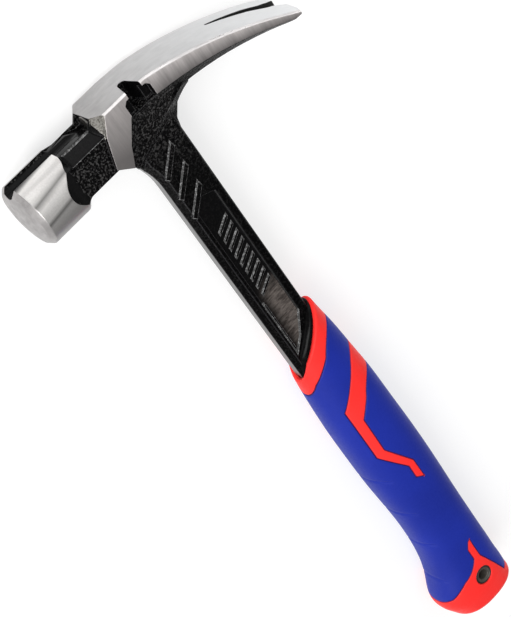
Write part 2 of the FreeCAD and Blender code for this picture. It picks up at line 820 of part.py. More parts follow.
def zone(name, shares, place):
    """Prism through the grip from a side-view outline, each of whose share pairs is placed by a function."""
    points = []
    for entry in shares:
        if isinstance(entry[0], tuple):
            points.append(tuple(place(x, y) for x, y in entry))
        else:
            points.append(place(*entry))
    return extrusion(name, side_face(points), (0, 0, 1), ZONE_HEIGHT)


def from_mouth(along, across):
    """Both in grip half depths, the first measured down the grip from the mouth."""
    depth = mm("grip_half_depth")
    return mouth_x(depth * across) - depth * along, depth * across


def from_butt(along, across):
    """Both in grip half depths, the first measured up the grip from the butt end."""
    depth = mm("grip_half_depth")
    return -mm("butt_reach") + depth * along, depth * across


def between_ends(along, across):
    """The first is a share of the way from the back of the mouth to the tip of the butt's tongue."""
    depth = mm("grip_half_depth")
    start, end = -mm("mouth_back_drop"), -mm("butt_reach") + depth * BUTT_ZONE_SHARES[0][0]
    return start + (end - start) * along, depth * across


ZONE_HEIGHT = "2 * (Sizes.grip_half_thickness + Sizes.grip_half_depth)"
MOUTH_KNEE_SHARES = (0.689, 0.785)
COLLAR_ZONE_SHARES = (
    (-3.0, -2.0), (1.620, -2.0), (0.654, -0.82), ((0.559, -0.46), (0.619, -0.107)), (0.513, 0.506),
    ((0.480, 0.702), (0.409, 0.86)), (-1.342, 2.0), (-6.0, 2.0),
)
STRIPE_ZONE_SHARES = (
    (0.174, -1.9), (0.186, -0.917), ((0.198, -0.744), (0.219, -0.542)), (0.3226, 0.375), (0.5194, 0.38),
    (0.6214, -0.215), (0.6719, -0.21), (0.6925, -0.44), (0.6173, -0.435), (0.5112, 0.09), (0.3801, 0.071),
    (0.3296, -0.363), ((0.2973, -0.637), (0.2789, -0.958)), (0.2732, -1.9),
)
BUTT_ZONE_SHARES = (
    (2.590, -0.452), (2.279, -0.435), (1.869, -0.435), ((1.102, -0.708), (0.606, -0.863)), (0.486, -1.9),
    (-1.9, -1.9), (-1.9, 2.0), (1.069, 2.0), (1.263, 0.95), (1.560, 0.423), ((1.729, 0.03), (1.964, -0.202)),
    (2.345, -0.208), (2.541, -0.345),
)


def build_forging():
    straight, flare = neck()
    solids = [face_ring(), straight, flare] + head_block() + claw() + [web(), shank(), tang()]
    blank = combine("Fuse", "forging_blank", *solids)
    cuts = list(groove_cuts()) + claw_cuts() + list(notch_cuts()) + panels() + lock_holes()
    cut = combine("Cut", "forging_cut", blank, *cuts)
    forging = combine("Fuse", "forging", cut, *(ribs() + bars()))
    return subpart(forging, "forged_body")


def build_grip():
    outer = grip_solid("grip_outer", GRIP_SHARES, 0.0, 0.0)
    core_blank = grip_solid("core_blank", GRIP_SHARES[:CORE_ROWS], mm("mouth_wall"), mm("soft_wall"))
    core_mouth = mouth_cut("core_mouth", mm("core_lip"))
    hole_reach = mm("eyelet_bore") + mm("eyelet_wall") + mm("core_end_wall")
    end = mm("hang_inset") - mm("butt_reach") - hole_reach
    behind, side = -mm("butt_reach"), mm("grip_half_depth") + mm("grip_half_thickness")
    end_face = side_face([(end, side), (end, -side), (behind, -side), (behind, side)])
    core_end = extrusion("core_end", end_face, (0, 0, 1), ZONE_HEIGHT)
    core_blank = combine("Cut", "core_ended", core_blank, core_end)
    soft_mouth = mouth_cut("soft_mouth", 0.0)
    reach = "(Sizes.eyelet_half_length + Sizes.overrun)"
    bore = cylinder("hang_bore", "Sizes.eyelet_bore + Sizes.eyelet_wall", "2 * " + reach,
                    ("-" + HANG_DROP, "-Sizes.hang_back", "-" + reach), (0, 0, 1))
    seats = []
    for name, sign in (("eyelet_seat_upper", 1), ("eyelet_seat_lower", -1)):
        floor = "%d * (Sizes.eyelet_half_length - Sizes.eyelet_flange_thickness)" % sign
        seats.append(cylinder(name, "Sizes.eyelet_flange + Sizes.fit_gap", "Sizes.grip_half_thickness",
                              ("-" + HANG_DROP, "-Sizes.hang_back", floor), (0, 0, sign)))
    return outer, core_blank, core_mouth, soft_mouth, bore, seats


forged_body = build_forging()
outer, core_blank, core_mouth, soft_mouth, hang_bore, seats = build_grip()
doc.recompute()

# The core fills everything between the tang and the soft layer, and locks through the tang's holes.
forging_local = feature("forging_room", doc.getObject("forging").Shape.copy())
forging_local.Placement = FreeCAD.Placement()
grip_core = combine("Cut", "core", core_blank, core_mouth, forging_local, hang_bore)
subpart(grip_core, "grip_core")

# The soft layer is one shell around the core, shared out among its coloured pieces.
soft = combine("Cut", "soft_layer", outer, core_blank, soft_mouth, hang_bore, *seats)
collar_zone = zone("collar_zone", COLLAR_ZONE_SHARES, from_mouth)
stripe_zone = zone("stripe_zone", STRIPE_ZONE_SHARES, between_ends)
butt_zone = zone("butt_zone", BUTT_ZONE_SHARES, from_butt)
grip_collar = subpart(combine("Common", "collar", soft, collar_zone), "grip_collar")
stripe_inlay = subpart(combine("Common", "stripe", soft, stripe_zone), "stripe_inlay")
butt_cap = subpart(combine("Common", "butt", soft, butt_zone), "butt_cap")
grip_sleeve = subpart(combine("Cut", "sleeve", soft, collar_zone, stripe_zone, butt_zone), "grip_sleeve")


def eyelet():
    """Tube with a flange at each end, sunk a little into the butt cap."""
    bore, wall = mm("eyelet_bore"), mm("eyelet_wall")
    half = mm("eyelet_half_length")
    thick, flange = mm("eyelet_flange_thickness"), mm("eyelet_flange")
    outline = wire([
        (bore, 0, -half + thick / 2),
        (bore, 0, half - thick / 2),
        (bore + thick / 2, 0, half),
        (flange - thick / 2, 0, half),
        (flange, 0, half - thick / 2),
        (flange, 0, half - thick),
        (bore + wall, 0, half - thick),
        (bore + wall, 0, -half + thick),
        (flange, 0, -half + thick),
        (flange, 0, -half + thick / 2),
        (flange - thick / 2, 0, -half),
        (bore + thick / 2, 0, -half),
    ])
    profile = feature("eyelet_profile", Part.Face(outline))
    turned = doc.addObject("Part::Revolution", "eyelet")
    turned.Source = profile
    turned.Axis = Vector(0, 0, 1)
    turned.Angle = 360
    turned.Solid = True
    turned.Label = "hang_eyelet"
    turned.setExpression("Placement.Base.x", SHIFT_X + " - " + HANG_DROP)
    turned.setExpression("Placement.Base.y", SHIFT_Y + " - Sizes.hang_back")
    turned.setExpression("Placement.Base.z", SHIFT_Z)
    return turned


hang_eyelet = eyelet()
nail_magnet = magnet()
doc.recompute()

pieces = [forged_body, nail_magnet, grip_core, grip_collar, grip_sleeve, stripe_inlay, butt_cap, hang_eyelet]
for item in doc.Objects:
    for state in ("Invalid", "Error"):
        if state in item.State:
            raise RuntimeError("%s is %s" % (item.Name, state))
for piece in pieces:
    if piece.Shape.isNull() or not piece.Shape.isValid():
        raise RuntimeError("%s has no valid shape" % piece.Label)

os.makedirs("parts", exist_ok=True)
for piece in pieces:
    piece.Shape.exportStep("parts/%s.step" % piece.Label)
    corner = piece.Shape.BoundBox
    print("%-14s solids %d  volume %.0f  x %.1f %.1f  y %.1f %.1f  z %.1f %.1f" % (
        piece.Label, len(piece.Shape.Solids), piece.Shape.Volume,
        corner.XMin, corner.XMax, corner.YMin, corner.YMax, corner.ZMin, corner.ZMax))
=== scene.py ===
import math

import bmesh
import bpy
import numpy as np
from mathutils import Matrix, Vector
from mathutils.bvhtree import BVHTree


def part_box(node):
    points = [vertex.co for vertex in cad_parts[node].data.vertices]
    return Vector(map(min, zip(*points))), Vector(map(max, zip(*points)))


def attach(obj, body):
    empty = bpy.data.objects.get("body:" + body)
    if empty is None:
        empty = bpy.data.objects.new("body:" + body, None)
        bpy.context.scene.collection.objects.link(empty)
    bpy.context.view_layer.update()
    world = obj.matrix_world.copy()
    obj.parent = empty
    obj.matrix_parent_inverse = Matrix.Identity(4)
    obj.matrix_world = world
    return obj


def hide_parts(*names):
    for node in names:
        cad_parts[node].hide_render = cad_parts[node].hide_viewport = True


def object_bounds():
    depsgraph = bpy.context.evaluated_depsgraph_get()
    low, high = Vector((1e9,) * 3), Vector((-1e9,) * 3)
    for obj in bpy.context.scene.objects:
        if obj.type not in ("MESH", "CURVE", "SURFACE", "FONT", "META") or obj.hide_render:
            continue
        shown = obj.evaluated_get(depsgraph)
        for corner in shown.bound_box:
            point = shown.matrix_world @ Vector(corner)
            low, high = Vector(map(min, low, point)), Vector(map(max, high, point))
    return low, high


# One-piece forged hammer with a moulded two-colour grip, lying on its side.
# Sizes are millimetres from the datum, where the striking axis meets the handle centreline.
# X runs up the handle to the head top, Y to the striking face, Z out of the upper cheek.

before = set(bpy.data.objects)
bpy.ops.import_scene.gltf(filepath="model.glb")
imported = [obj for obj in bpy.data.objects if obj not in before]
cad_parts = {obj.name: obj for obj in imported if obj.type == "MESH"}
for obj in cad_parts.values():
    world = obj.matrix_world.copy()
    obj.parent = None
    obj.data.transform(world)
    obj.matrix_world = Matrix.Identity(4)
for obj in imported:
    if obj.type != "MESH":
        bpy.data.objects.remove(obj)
CAD_BOUNDS = [list(corner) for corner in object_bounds()]

MM = 0.001
MAGNET_HEIGHT = 12.2
MAGNET_FRONT = 20.4
MAGNET_LOW, MAGNET_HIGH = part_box("nail_magnet")
DATUM = Vector((
    (MAGNET_LOW.x + MAGNET_HIGH.x) / 2 - MAGNET_HEIGHT * MM,
    MAGNET_HIGH.y - MAGNET_FRONT * MM,
    (MAGNET_LOW.z + MAGNET_HIGH.z) / 2,
))

# Head and shank
HEAD_TOP = 15.6
FACE_REACH = 64.0
FACE_RADIUS = 15.0
FACE_CROWN = 1.7
CHEEK_HALF_WIDTH = 12.3
CLAW_BEND_START = 3.7
CLAW_BEND_RADIUS = 78.0
CLAW_BEND_TURN = math.radians(11.0)
CLAW_TAIL_RADIUS = 175.0
SHANK_HALF_THICKNESS = 5.0

# Grip
GRIP_TOP = 112.0
BUTT_REACH = (DATUM.x - CAD_BOUNDS[0][0]) / MM
HALF_DEPTH = 16.8
HALF_THICKNESS = 13.2
MOUTH_ROUNDNESS = 2.0
ROUNDNESS = 2.4
SOFT_WALL = 2.0
MOUTH_BACK = (-124.5, -13.9)
MOUTH_FRONT = (-152.5, 12.2)
GRID_STEP = 0.65
GROOVE_HALF_WIDTH = 0.45
GROOVE_DEPTH = 0.4
RIM_RADIUS = 0.9
HANG_X = -(BUTT_REACH - 21.1)
HANG_Y = -2.8
FLANGE_RADIUS = 4.7
HOLE_RADIUS = FLANGE_RADIUS + 0.1
HOLE_RIM = 0.6


def to_metres(places):
    return (np.asarray(places, float) * MM + np.array(DATUM)).tolist()


def link(name, mesh):
    item = bpy.data.objects.new(name, mesh)
    bpy.context.scene.collection.objects.link(item)
    return item


def smooth(mesh):
    mesh.polygons.foreach_set("use_smooth", [True] * len(mesh.polygons))


# Materials

class Nodes:
    """A material's node tree, with short calls to add nodes and join them."""

    def __init__(self, name):
        self.material = bpy.data.materials.new(name)
        self.material.use_nodes = True
        self.tree = self.material.node_tree
        self.shader = self.tree.nodes["Principled BSDF"]
        self.place = self.add("ShaderNodeTexCoord").outputs["Object"]

    def add(self, kind, **settings):
        node = self.tree.nodes.new(kind)
        for key, value in settings.items():
            setattr(node, key, value)
        return node

    def join(self, output, target):
        self.tree.links.new(output, target)

    def feed(self, source, socket):
        """Join an output to a socket, or set a plain number or colour there."""
        if isinstance(source, tuple):
            socket.default_value = (*source, 1)
        elif isinstance(source, (int, float)):
            socket.default_value = source
        else:
            self.join(source, socket)

    def axes(self):
        """The place's X, Y and Z as outputs."""
        split = self.add("ShaderNodeSeparateXYZ")
        self.join(self.place, split.inputs["Vector"])
        return split.outputs

    def stretched(self, scale, turn=(0, 0, 0)):
        mapping = self.add("ShaderNodeMapping")
        mapping.inputs["Scale"].default_value = scale
        mapping.inputs["Rotation"].default_value = turn
        self.join(self.place, mapping.inputs["Vector"])
        return mapping.outputs["Vector"]

    def noise(self, scale, detail=2.0, roughness=0.5, vector=None):
        node = self.add("ShaderNodeTexNoise")
        node.inputs["Scale"].default_value = scale
        node.inputs["Detail"].default_value = detail
        node.inputs["Roughness"].default_value = roughness
        self.join(vector or self.place, node.inputs["Vector"])
        return node.outputs["Fac"]

    def ramp(self, source, low, high, start, end):
        """Map a value from low..high to start..end, held at both ends."""
        node = self.add("ShaderNodeMapRange")
        for key, value in (("From Min", low), ("From Max", high), ("To Min", start), ("To Max", end)):
            node.inputs[key].default_value = value
        self.join(source, node.inputs["Value"])
        return node.outputs["Result"]

    def along(self, axis, low, high, start=0.0, end=1.0):
        """Ramp along an axis, between two distances in millimetres from the datum."""
        origin = getattr(DATUM, axis.lower())
        return self.ramp(self.axes()[axis], origin + low * MM, origin + high * MM, start, end)

    def math(self, operation, first, second):
        node = self.add("ShaderNodeMath", operation=operation)
        self.feed(first, node.inputs[0])
        self.feed(second, node.inputs[1])
        return node.outputs[0]

    def mix(self, factor, first, second, blend="MIX"):
        """Blend of two colours. The numbers are the colour sockets of a mix node."""
        node = self.add("ShaderNodeMix", data_type="RGBA", blend_type=blend)
        for source, number in ((factor, 0), (first, 6), (second, 7)):
            self.feed(source, node.inputs[number])
        return node.outputs[2]

    def bump(self, height, depth, strength=1.0, normal=None):
        """Bump whose height of 1 is a depth in millimetres."""
        node = self.add("ShaderNodeBump")
        node.inputs["Strength"].default_value = strength
        node.inputs["Distance"].default_value = depth * MM
        self.join(height, node.inputs["Height"])
        if normal:
            self.join(normal, node.inputs["Normal"])
        return node.outputs["Normal"]

    def finish(self, colour, roughness, normal=None):
        for socket, source in (("Base Color", colour), ("Roughness", roughness), ("Normal", normal)):
            if source is not None:
                self.join(source, self.shader.inputs[socket])
        return self.material


# Painted shade in the groove between the grip's two colours
SEAM_SHADE_COLOUR = (0.03, 0.006, 0.045)


def rubber(name, light, dark, roughness):
    """Moulded soft rubber: fine grain, faint colour drift, a soft sheen and painted shade in the seam groove
    between colours.
    """
    n = Nodes(name)
    drift = n.noise(28.0, 3.0)
    speckle = n.noise(900.0, 2.0)
    blend = n.math("ADD", n.ramp(drift, 0.35, 0.65, 0.0, 0.8), n.ramp(speckle, 0.35, 0.65, 0.0, 0.2))
    colour = n.mix(blend, light, dark)
    # Painted shade darkens the colour along the seam groove
    seam = n.add("ShaderNodeAttribute", attribute_name="seam").outputs["Fac"]
    colour = n.mix(seam, colour, SEAM_SHADE_COLOUR)
    fine = n.bump(n.noise(1900.0, 3.0, 0.6), 0.05, 0.6)
    normal = n.bump(n.noise(260.0, 2.0), 0.09, 0.35, fine)
    rough = n.ramp(speckle, 0.3, 0.7, roughness - 0.05, roughness + 0.06)
    n.shader.inputs["Sheen Weight"].default_value = 0.02
    n.shader.inputs["Sheen Roughness"].default_value = 0.4
    n.shader.inputs["Specular IOR Level"].default_value = 0.2
    return n.finish(colour, rough, normal)


WRINKLE_END = -75.0
WRINKLE_FULL = -40.0
# Painted glints thin out down the shank between these heights
GLINT_END = -34.0
GLINT_FULL = -6.0


def enamel(name, black, glint_colour, specular, glint_share=0.12):
    """Thick black enamel over cast steel: wrinkled by the head and smoother down the shank, with painted
    glints as light specks that thin out down the shank.
    """
    n = Nodes(name)
    warp = n.noise(420.0, 2.0)
    shifted = n.add("ShaderNodeVectorMath", operation="SCALE")
    n.join(n.place, shifted.inputs[0])
    n.join(n.ramp(warp, 0.0, 1.0, 0.97, 1.03), shifted.inputs["Scale"])
    wrinkle = n.add("ShaderNodeTexVoronoi", feature="SMOOTH_F1")
    wrinkle.inputs["Scale"].default_value = 780.0
    n.join(shifted.outputs[0], wrinkle.inputs["Vector"])
    grain = n.noise(1050.0, 2.5, 0.6)
    height = n.math("ADD", n.math("MULTIPLY", wrinkle.outputs["Distance"], 0.7), grain)
    height = n.math("MULTIPLY", height, n.along("X", WRINKLE_END, WRINKLE_FULL, 0.12, 1.0))
    normal = n.bump(height, 0.55, 1.0)
    normal = n.bump(n.noise(150.0, 2.0), 0.12, 0.5, normal)
    # Painted glints: light specks that stand in for light caught on the wrinkles
    painted_glints = n.ramp(grain, 0.5, 0.66, 0.0, 1.0)
    painted_glints = n.math("MULTIPLY", painted_glints, n.along("X", GLINT_END, GLINT_FULL, glint_share, 1.0))
    n.shader.inputs["Specular IOR Level"].default_value = specular
    return n.finish(n.mix(painted_glints, black, glint_colour), n.ramp(grain, 0.35, 0.7, 0.16, 0.34), normal)


# Painted sheen of reflected light on the panel's floor: where it starts and is full down the shank, and where
# it fades across towards the front
SHEEN_START = -97.0
SHEEN_FULL = -106.0
SHEEN_MIDDLE = 0.0
SHEEN_FRONT = 4.5


def panel_enamel():
    """Smooth black enamel, with a painted brownish sheen of reflected light on the panel's floor before the
    grip.
    """
    n = Nodes("panel_enamel")
    painted_sheen = n.along("X", SHEEN_START, SHEEN_FULL)
    painted_sheen = n.math("MULTIPLY", painted_sheen, n.along("Y", SHEEN_MIDDLE, SHEEN_FRONT, 1.0, 0.1))
    strokes = n.noise(1000.0, 3.0, 0.65, n.stretched((1.0, 0.25, 1.0)))
    sheen_colour = n.mix(n.ramp(strokes, 0.35, 0.65, 0.0, 1.0), (0.035, 0.029, 0.026), (0.125, 0.108, 0.098))
    grain = n.noise(1100.0, 3.0, 0.6)
    black = n.mix(n.ramp(grain, 0.45, 0.75, 0.0, 1.0), (0.0018, 0.0018, 0.002), (0.006, 0.0058, 0.0058))
    n.shader.inputs["Specular IOR Level"].default_value = 0.12
    rough = n.ramp(painted_sheen, 0.0, 1.0, 0.2, 0.42)
    return n.finish(n.mix(painted_sheen, black, sheen_colour), rough, n.bump(strokes, 0.06, 0.6))


def steel(name, tone, roughness, stretch, warmth=0.02, metallic=1.0, mark_share=0.7, painted_light=None):
    """Ground bare steel: grinding marks drawn out along one direction, and from place to place the painted
    shade or painted reflection that a given function adds.
    """
    n = Nodes(name)
    marks = n.noise(300.0, 4.0, 0.65, n.stretched(stretch))
    fine = n.noise(900.0, 3.0, 0.7, n.stretched(stretch))
    blotch = n.noise(60.0, 3.0)
    light = (tone, tone * (1 - warmth * 0.8), tone * (1 - warmth))
    dark = tuple(value * mark_share for value in light)
    blend = n.math("ADD", n.ramp(marks, 0.35, 0.65, 0.0, 0.7), n.ramp(blotch, 0.35, 0.65, 0.0, 0.3))
    colour = n.mix(blend, light, dark)
    # Painted shade or reflection from place to place
    if painted_light:
        colour = painted_light(n, light, colour)
    rough = n.ramp(marks, 0.3, 0.7, roughness - 0.06, roughness + 0.08)
    n.shader.inputs["Metallic"].default_value = metallic
    return n.finish(colour, rough, n.bump(fine, 0.03, 0.5))


# Painted reflection: the head's top turns lighter from here out to the claw's tips
TIP_START = 20.0
TIP_FULL = -75.0
TIP_REFLECTION_COLOUR = (0.784, 0.792, 0.8)


def tip_painted_reflection(n, light, colour):
    """Painted reflection: lighten the head's top from the cheeks out to the tips of the claw."""
    return n.mix(n.along("Y", TIP_START, TIP_FULL), colour, TIP_REFLECTION_COLOUR)


# Painted shade on the cheeks, darker towards their foot, and on the claw's side, darker from its top edge
# down
CHEEK_TURN = 0.3
CHEEK_DARK = -11.0
CHEEK_LIGHT = 18.0
CHEEK_FOOT_SHARE = 0.26
# The claw's top edge as one curve, near enough for the painted shade, and the depth of the bare band on the
# claw's side
CLAW_DROP_CURVE = 0.003
CLAW_DROP_SLOPE = 0.084
CLAW_BAND = 10.5
CLAW_BAND_TAPER = 0.085
CLAW_FADE_START = 4.0
CLAW_FADE_FULL = 14.0


def side_painted_shade(n, light, colour):
    """Painted shade: darken the cheeks down to their foot, and the claw's side from its top edge down to its
    belly.
    """
    place = n.axes()
    height = n.math("ADD", place["X"], n.math("MULTIPLY", place["Y"], -CHEEK_TURN))
    level = DATUM.x - CHEEK_TURN * DATUM.y
    foot = n.ramp(height, level + CHEEK_DARK * MM, level + CHEEK_LIGHT * MM, 1.0, 0.0)
    colour = n.mix(foot, colour, tuple(value * CHEEK_FOOT_SHARE for value in light))
    # Painted shade on the claw's side, from its top edge down to its belly
    out = n.math("MAXIMUM", n.math("SUBTRACT", DATUM.y + CLAW_BEND_START * MM, place["Y"]), 0.0)
    slope = n.math("ADD", n.math("MULTIPLY", out, CLAW_DROP_CURVE / MM), CLAW_DROP_SLOPE)
    top = n.math("SUBTRACT", DATUM.x + HEAD_TOP * MM, n.math("MULTIPLY", out, slope))
    band = n.math("ADD", n.math("MULTIPLY", out, -CLAW_BAND_TAPER), CLAW_BAND * MM)
    depth = n.math("DIVIDE", n.math("SUBTRACT", top, place["X"]), band)
    on_claw = n.ramp(out, CLAW_FADE_START * MM, CLAW_FADE_FULL * MM, 0.0, 1.0)
    return n.mix(on_claw, colour, n.ramp(depth, 0.05, 1.0, 1.25, 0.36), "MULTIPLY")


# Angle around the striking axis in degrees, from the top towards the upper cheek, and the brightness of the
# painted reflections there
RING_TONES = (
    (-40, 0.7), (-16, 0.55), (14, 0.05), (19, 0.3), (24, 0.85), (32, 0.92), (44, 0.8), (53, 0.5), (58, 0.22),
    (63, 0.55), (68, 0.82), (87, 0.72), (93, 0.22), (98, 0.52), (112, 0.4), (150, 0.2),
)
# The painted reflection bands lean by so many degrees for each millimetre from the middle of the ring
RING_MIDDLE = 54.0
RING_LEAN = 0.5


def turned_steel():
    """Turned ring around the striking axis, with painted bands of reflected light and shade, as a round
    bright surface shows them.
    """
    n = Nodes("turned_steel")
    place = n.axes()
    up = n.math("SUBTRACT", place["X"], DATUM.x)
    across = n.math("SUBTRACT", place["Z"], DATUM.z)
    turn = n.math("MULTIPLY", n.math("ARCTAN2", across, up), 180 / math.pi)
    ahead = n.math("SUBTRACT", place["Y"], DATUM.y + RING_MIDDLE * MM)
    turn = n.math("ADD", turn, n.math("MULTIPLY", ahead, -RING_LEAN / MM))
    first, last = RING_TONES[0][0], RING_TONES[-1][0]
    bands = n.add("ShaderNodeValToRGB")
    stops = bands.color_ramp.elements
    while len(stops) < len(RING_TONES):
        stops.new(0.5)
    for stop, (angle, tone) in zip(stops, RING_TONES):
        stop.position = (angle - first) / (last - first)
        stop.color = (tone, tone * 0.975, tone * 0.95, 1)
    n.join(n.ramp(turn, first, last, 0.0, 1.0), bands.inputs["Fac"])
    marks = n.noise(420.0, 4.0, 0.65, n.stretched((1.0, 0.08, 1.0)))
    grain = n.noise(1500.0, 3.0, 0.7)
    blend = n.math("ADD", n.ramp(marks, 0.35, 0.65, 0.0, 0.5), n.ramp(grain, 0.35, 0.65, 0.0, 0.5))
    marked = n.mix(blend, (1.0, 1.0, 1.0), (0.8, 0.8, 0.8))
    colour = n.mix(1.0, bands.outputs["Color"], marked, "MULTIPLY")
    n.shader.inputs["Metallic"].default_value = 0.7
    return n.finish(colour, n.ramp(marks, 0.3, 0.7, 0.28, 0.4), n.bump(marks, 0.03, 0.4))


def speckled_steel():
    """Forged skin left bare on the head's shoulders: grey, pitted and speckled."""
    n = Nodes("speckled_steel")
    pits = n.noise(1300.0, 4.0, 0.65)
    colour = n.mix(n.ramp(pits, 0.36, 0.55, 0.0, 1.0), (0.09, 0.083, 0.07), (0.27, 0.26, 0.24))
    n.shader.inputs["Metallic"].default_value = 0.75
    return n.finish(colour, n.ramp(pits, 0.4, 0.6, 0.6, 0.4), n.bump(pits, 0.15, 0.8))


def hard_plastic():
    """Glossy black plastic of the core's lip."""
    n = Nodes("core_plastic_gloss")
    grain = n.noise(500.0, 2.0)
    colour = n.mix(n.ramp(grain, 0.4, 0.7, 0.0, 1.0), (0.0015, 0.0015, 0.0017), (0.004, 0.004, 0.004))
    n.shader.inputs["Specular IOR Level"].default_value = 0.1
    return n.finish(colour, n.ramp(grain, 0.3, 0.7, 0.16, 0.26), n.bump(grain, 0.03, 0.4))


def gunmetal(name, light, dark, metallic):
    """Dark metal with a fine cast grain, for the eyelet and its dished middle."""
    n = Nodes(name)
    grain = n.noise(800.0, 3.0, 0.6)
    colour = n.mix(n.ramp(grain, 0.35, 0.65, 0.0, 1.0), light, dark)
    n.shader.inputs["Metallic"].default_value = metallic
    return n.finish(colour, n.ramp(grain, 0.3, 0.7, 0.3, 0.45), n.bump(grain, 0.05, 0.6))


def floor_paint():
    """Matt pale paint that glows a little, so that the floor burns out to white."""
    n = Nodes("pale_floor")
    tone = n.noise(3.0, 2.0)
    n.shader.inputs["Emission Color"].default_value = (1, 1, 1, 1)
    n.shader.inputs["Emission Strength"].default_value = 0.62
    return n.finish(n.mix(tone, (0.42, 0.42, 0.42), (0.44, 0.44, 0.44)), n.ramp(tone, 0.0, 1.0, 0.75, 0.8))


RED = rubber("red_soft_rubber", (1.0, 0.035, 0.03), (0.95, 0.025, 0.021), 0.5)
BLUE = rubber("blue_soft_rubber", (0.010, 0.026, 0.33), (0.008, 0.021, 0.27), 0.52)
ENAMEL = enamel("black_enamel", (0.0012, 0.0012, 0.0013), (0.055, 0.054, 0.053), 0.06)
# Lighter enamel for edges: a painted highlight along them
EDGE_HIGHLIGHT_ENAMEL = enamel("worn_edge_enamel", (0.013, 0.013, 0.014), (0.06, 0.059, 0.058), 0.22)
# A darker copy of the enamel for the claw's underside: painted shade
UNDER_SHADED_ENAMEL = enamel("claw_under_shaded_enamel", (0.0006, 0.0006, 0.0007), (0.02, 0.02, 0.02), 0.02, 0.3)
# Lighter enamel for the shank's relief and the neck's ridges: a painted highlight
RELIEF_HIGHLIGHT_ENAMEL = enamel("relief_highlight_enamel", (0.06, 0.06, 0.06), (0.27, 0.27, 0.27), 0.3, 1.0)
PANEL_ENAMEL = panel_enamel()
ALONG_X, ALONG_Y, EVEN = (0.12, 1.0, 1.0), (1.0, 0.35, 1.0), (1.0, 1.0, 1.0)
RING_STEEL = turned_steel()
FACE_STEEL = steel("ground_face", 0.42, 0.42, EVEN, warmth=0.05, metallic=0.75)
# Polished edge strip: its light tone also paints the edge's highlight
EDGE_HIGHLIGHT_STEEL = steel("polished_edge_highlight", 0.95, 0.3, (1.0, 0.3, 1.0), warmth=0.04, metallic=0.5)
TOP_STEEL = steel("ground_top_steel", 0.41, 0.42, ALONG_Y, warmth=0.03, mark_share=0.8, painted_light=tip_painted_reflection)
SIDE_STEEL = steel("brushed_side_steel", 0.78, 0.4, ALONG_X, warmth=0.08, metallic=0.6, mark_share=0.55,
                   painted_light=side_painted_shade)
# Near-black steel for the slot's walls: painted shade
SLOT_SHADE_STEEL = steel("slot_shade_steel", 0.04, 0.4, ALONG_X, warmth=0.04, metallic=0.6)
STRIP_STEEL = steel("ground_front_strip", 0.2, 0.3, (0.1, 1.0, 1.0), warmth=0.01)
SHOULDER_STEEL = speckled_steel()
CORE_BLACK = hard_plastic()
MAGNET_NICKEL = gunmetal("dark_nickel", (0.3, 0.29, 0.27), (0.2, 0.19, 0.18), 1.0)
EYELET_RING = gunmetal("eyelet_ring", (0.012, 0.011, 0.01), (0.02, 0.018, 0.016), 0.0)
EYELET_DISH = gunmetal("eyelet_dish", (0.1, 0.092, 0.08), (0.06, 0.055, 0.047), 0.3)


# Outlines in the side view, the same as the solids' outlines

MOUTH_KNEE_SHARES = (0.689, 0.785)
MOUTH_KNEE = tuple(start + (end - start) * share
                   for start, end, share in zip(MOUTH_BACK, MOUTH_FRONT, MOUTH_KNEE_SHARES))
# Corners along and across the grip. A nested pair is the middle and the end of an arc.
COLLAR_ZONE_SHARES = (
    (-3.0, -2.0), (1.620, -2.0), (0.654, -0.82), ((0.559, -0.46), (0.619, -0.107)), (0.513, 0.506),
    ((0.480, 0.702), (0.409, 0.86)), (-1.342, 2.0), (-6.0, 2.0),
)
STRIPE_ZONE_SHARES = (
    (0.174, -1.9), (0.186, -0.917), ((0.198, -0.744), (0.219, -0.542)), (0.3226, 0.375), (0.5194, 0.38),
    (0.6214, -0.215), (0.6719, -0.21), (0.6925, -0.44), (0.6173, -0.435), (0.5112, 0.09), (0.3801, 0.071),
    (0.3296, -0.363), ((0.2973, -0.637), (0.2789, -0.958)), (0.2732, -1.9),
)
BUTT_ZONE_SHARES = (
    (2.590, -0.452), (2.279, -0.435), (1.869, -0.435), ((1.102, -0.708), (0.606, -0.863)), (0.486, -1.9),
    (-1.9, -1.9), (-1.9, 2.0), (1.069, 2.0), (1.263, 0.95), (1.560, 0.423), ((1.729, 0.03), (1.964, -0.202)),
    (2.345, -0.208), (2.541, -0.345),
)
ARC_STEPS = 10


def mouth_x(y):
    """Place of the slanted mouth at a distance y in front of the centreline."""
    (back_x, back_y), (knee_x, knee_y), (front_x, front_y) = MOUTH_BACK, MOUTH_KNEE, MOUTH_FRONT
    lower = back_x + (knee_x - back_x) * (y - back_y) / (knee_y - back_y)
    upper = knee_x + (front_x - knee_x) * (y - knee_y) / (front_y - knee_y)
    return np.where(y < knee_y, lower, upper)


def from_mouth(along, across):
    y = HALF_DEPTH * across
    return float(mouth_x(y)) - HALF_DEPTH * along, y


def from_butt(along, across):
    return -BUTT_REACH + HALF_DEPTH * along, HALF_DEPTH * across


def between_ends(along, across):
    start = MOUTH_BACK[0]
    end = -BUTT_REACH + HALF_DEPTH * BUTT_ZONE_SHARES[0][0]
    return start + (end - start) * along, HALF_DEPTH * across


def arc(start, middle, end):
    """Points on the arc through three points, without its start."""
    start, middle, end = (np.array(point) for point in (start, middle, end))
    matrix = 2 * np.array([middle - start, end - start])
    centre = np.linalg.solve(matrix, [middle @ middle - start @ start, end @ end - start @ start])
    angles = [math.atan2(*(point - centre)[::-1]) for point in (start, middle, end)]
    turn = (angles[2] - angles[0] + math.pi) % (2 * math.pi) - math.pi
    radius = np.linalg.norm(start - centre)
    steps = angles[0] + turn * np.arange(1, ARC_STEPS + 1) / ARC_STEPS
    return [(centre[0] + radius * math.cos(a), centre[1] + radius * math.sin(a)) for a in steps]


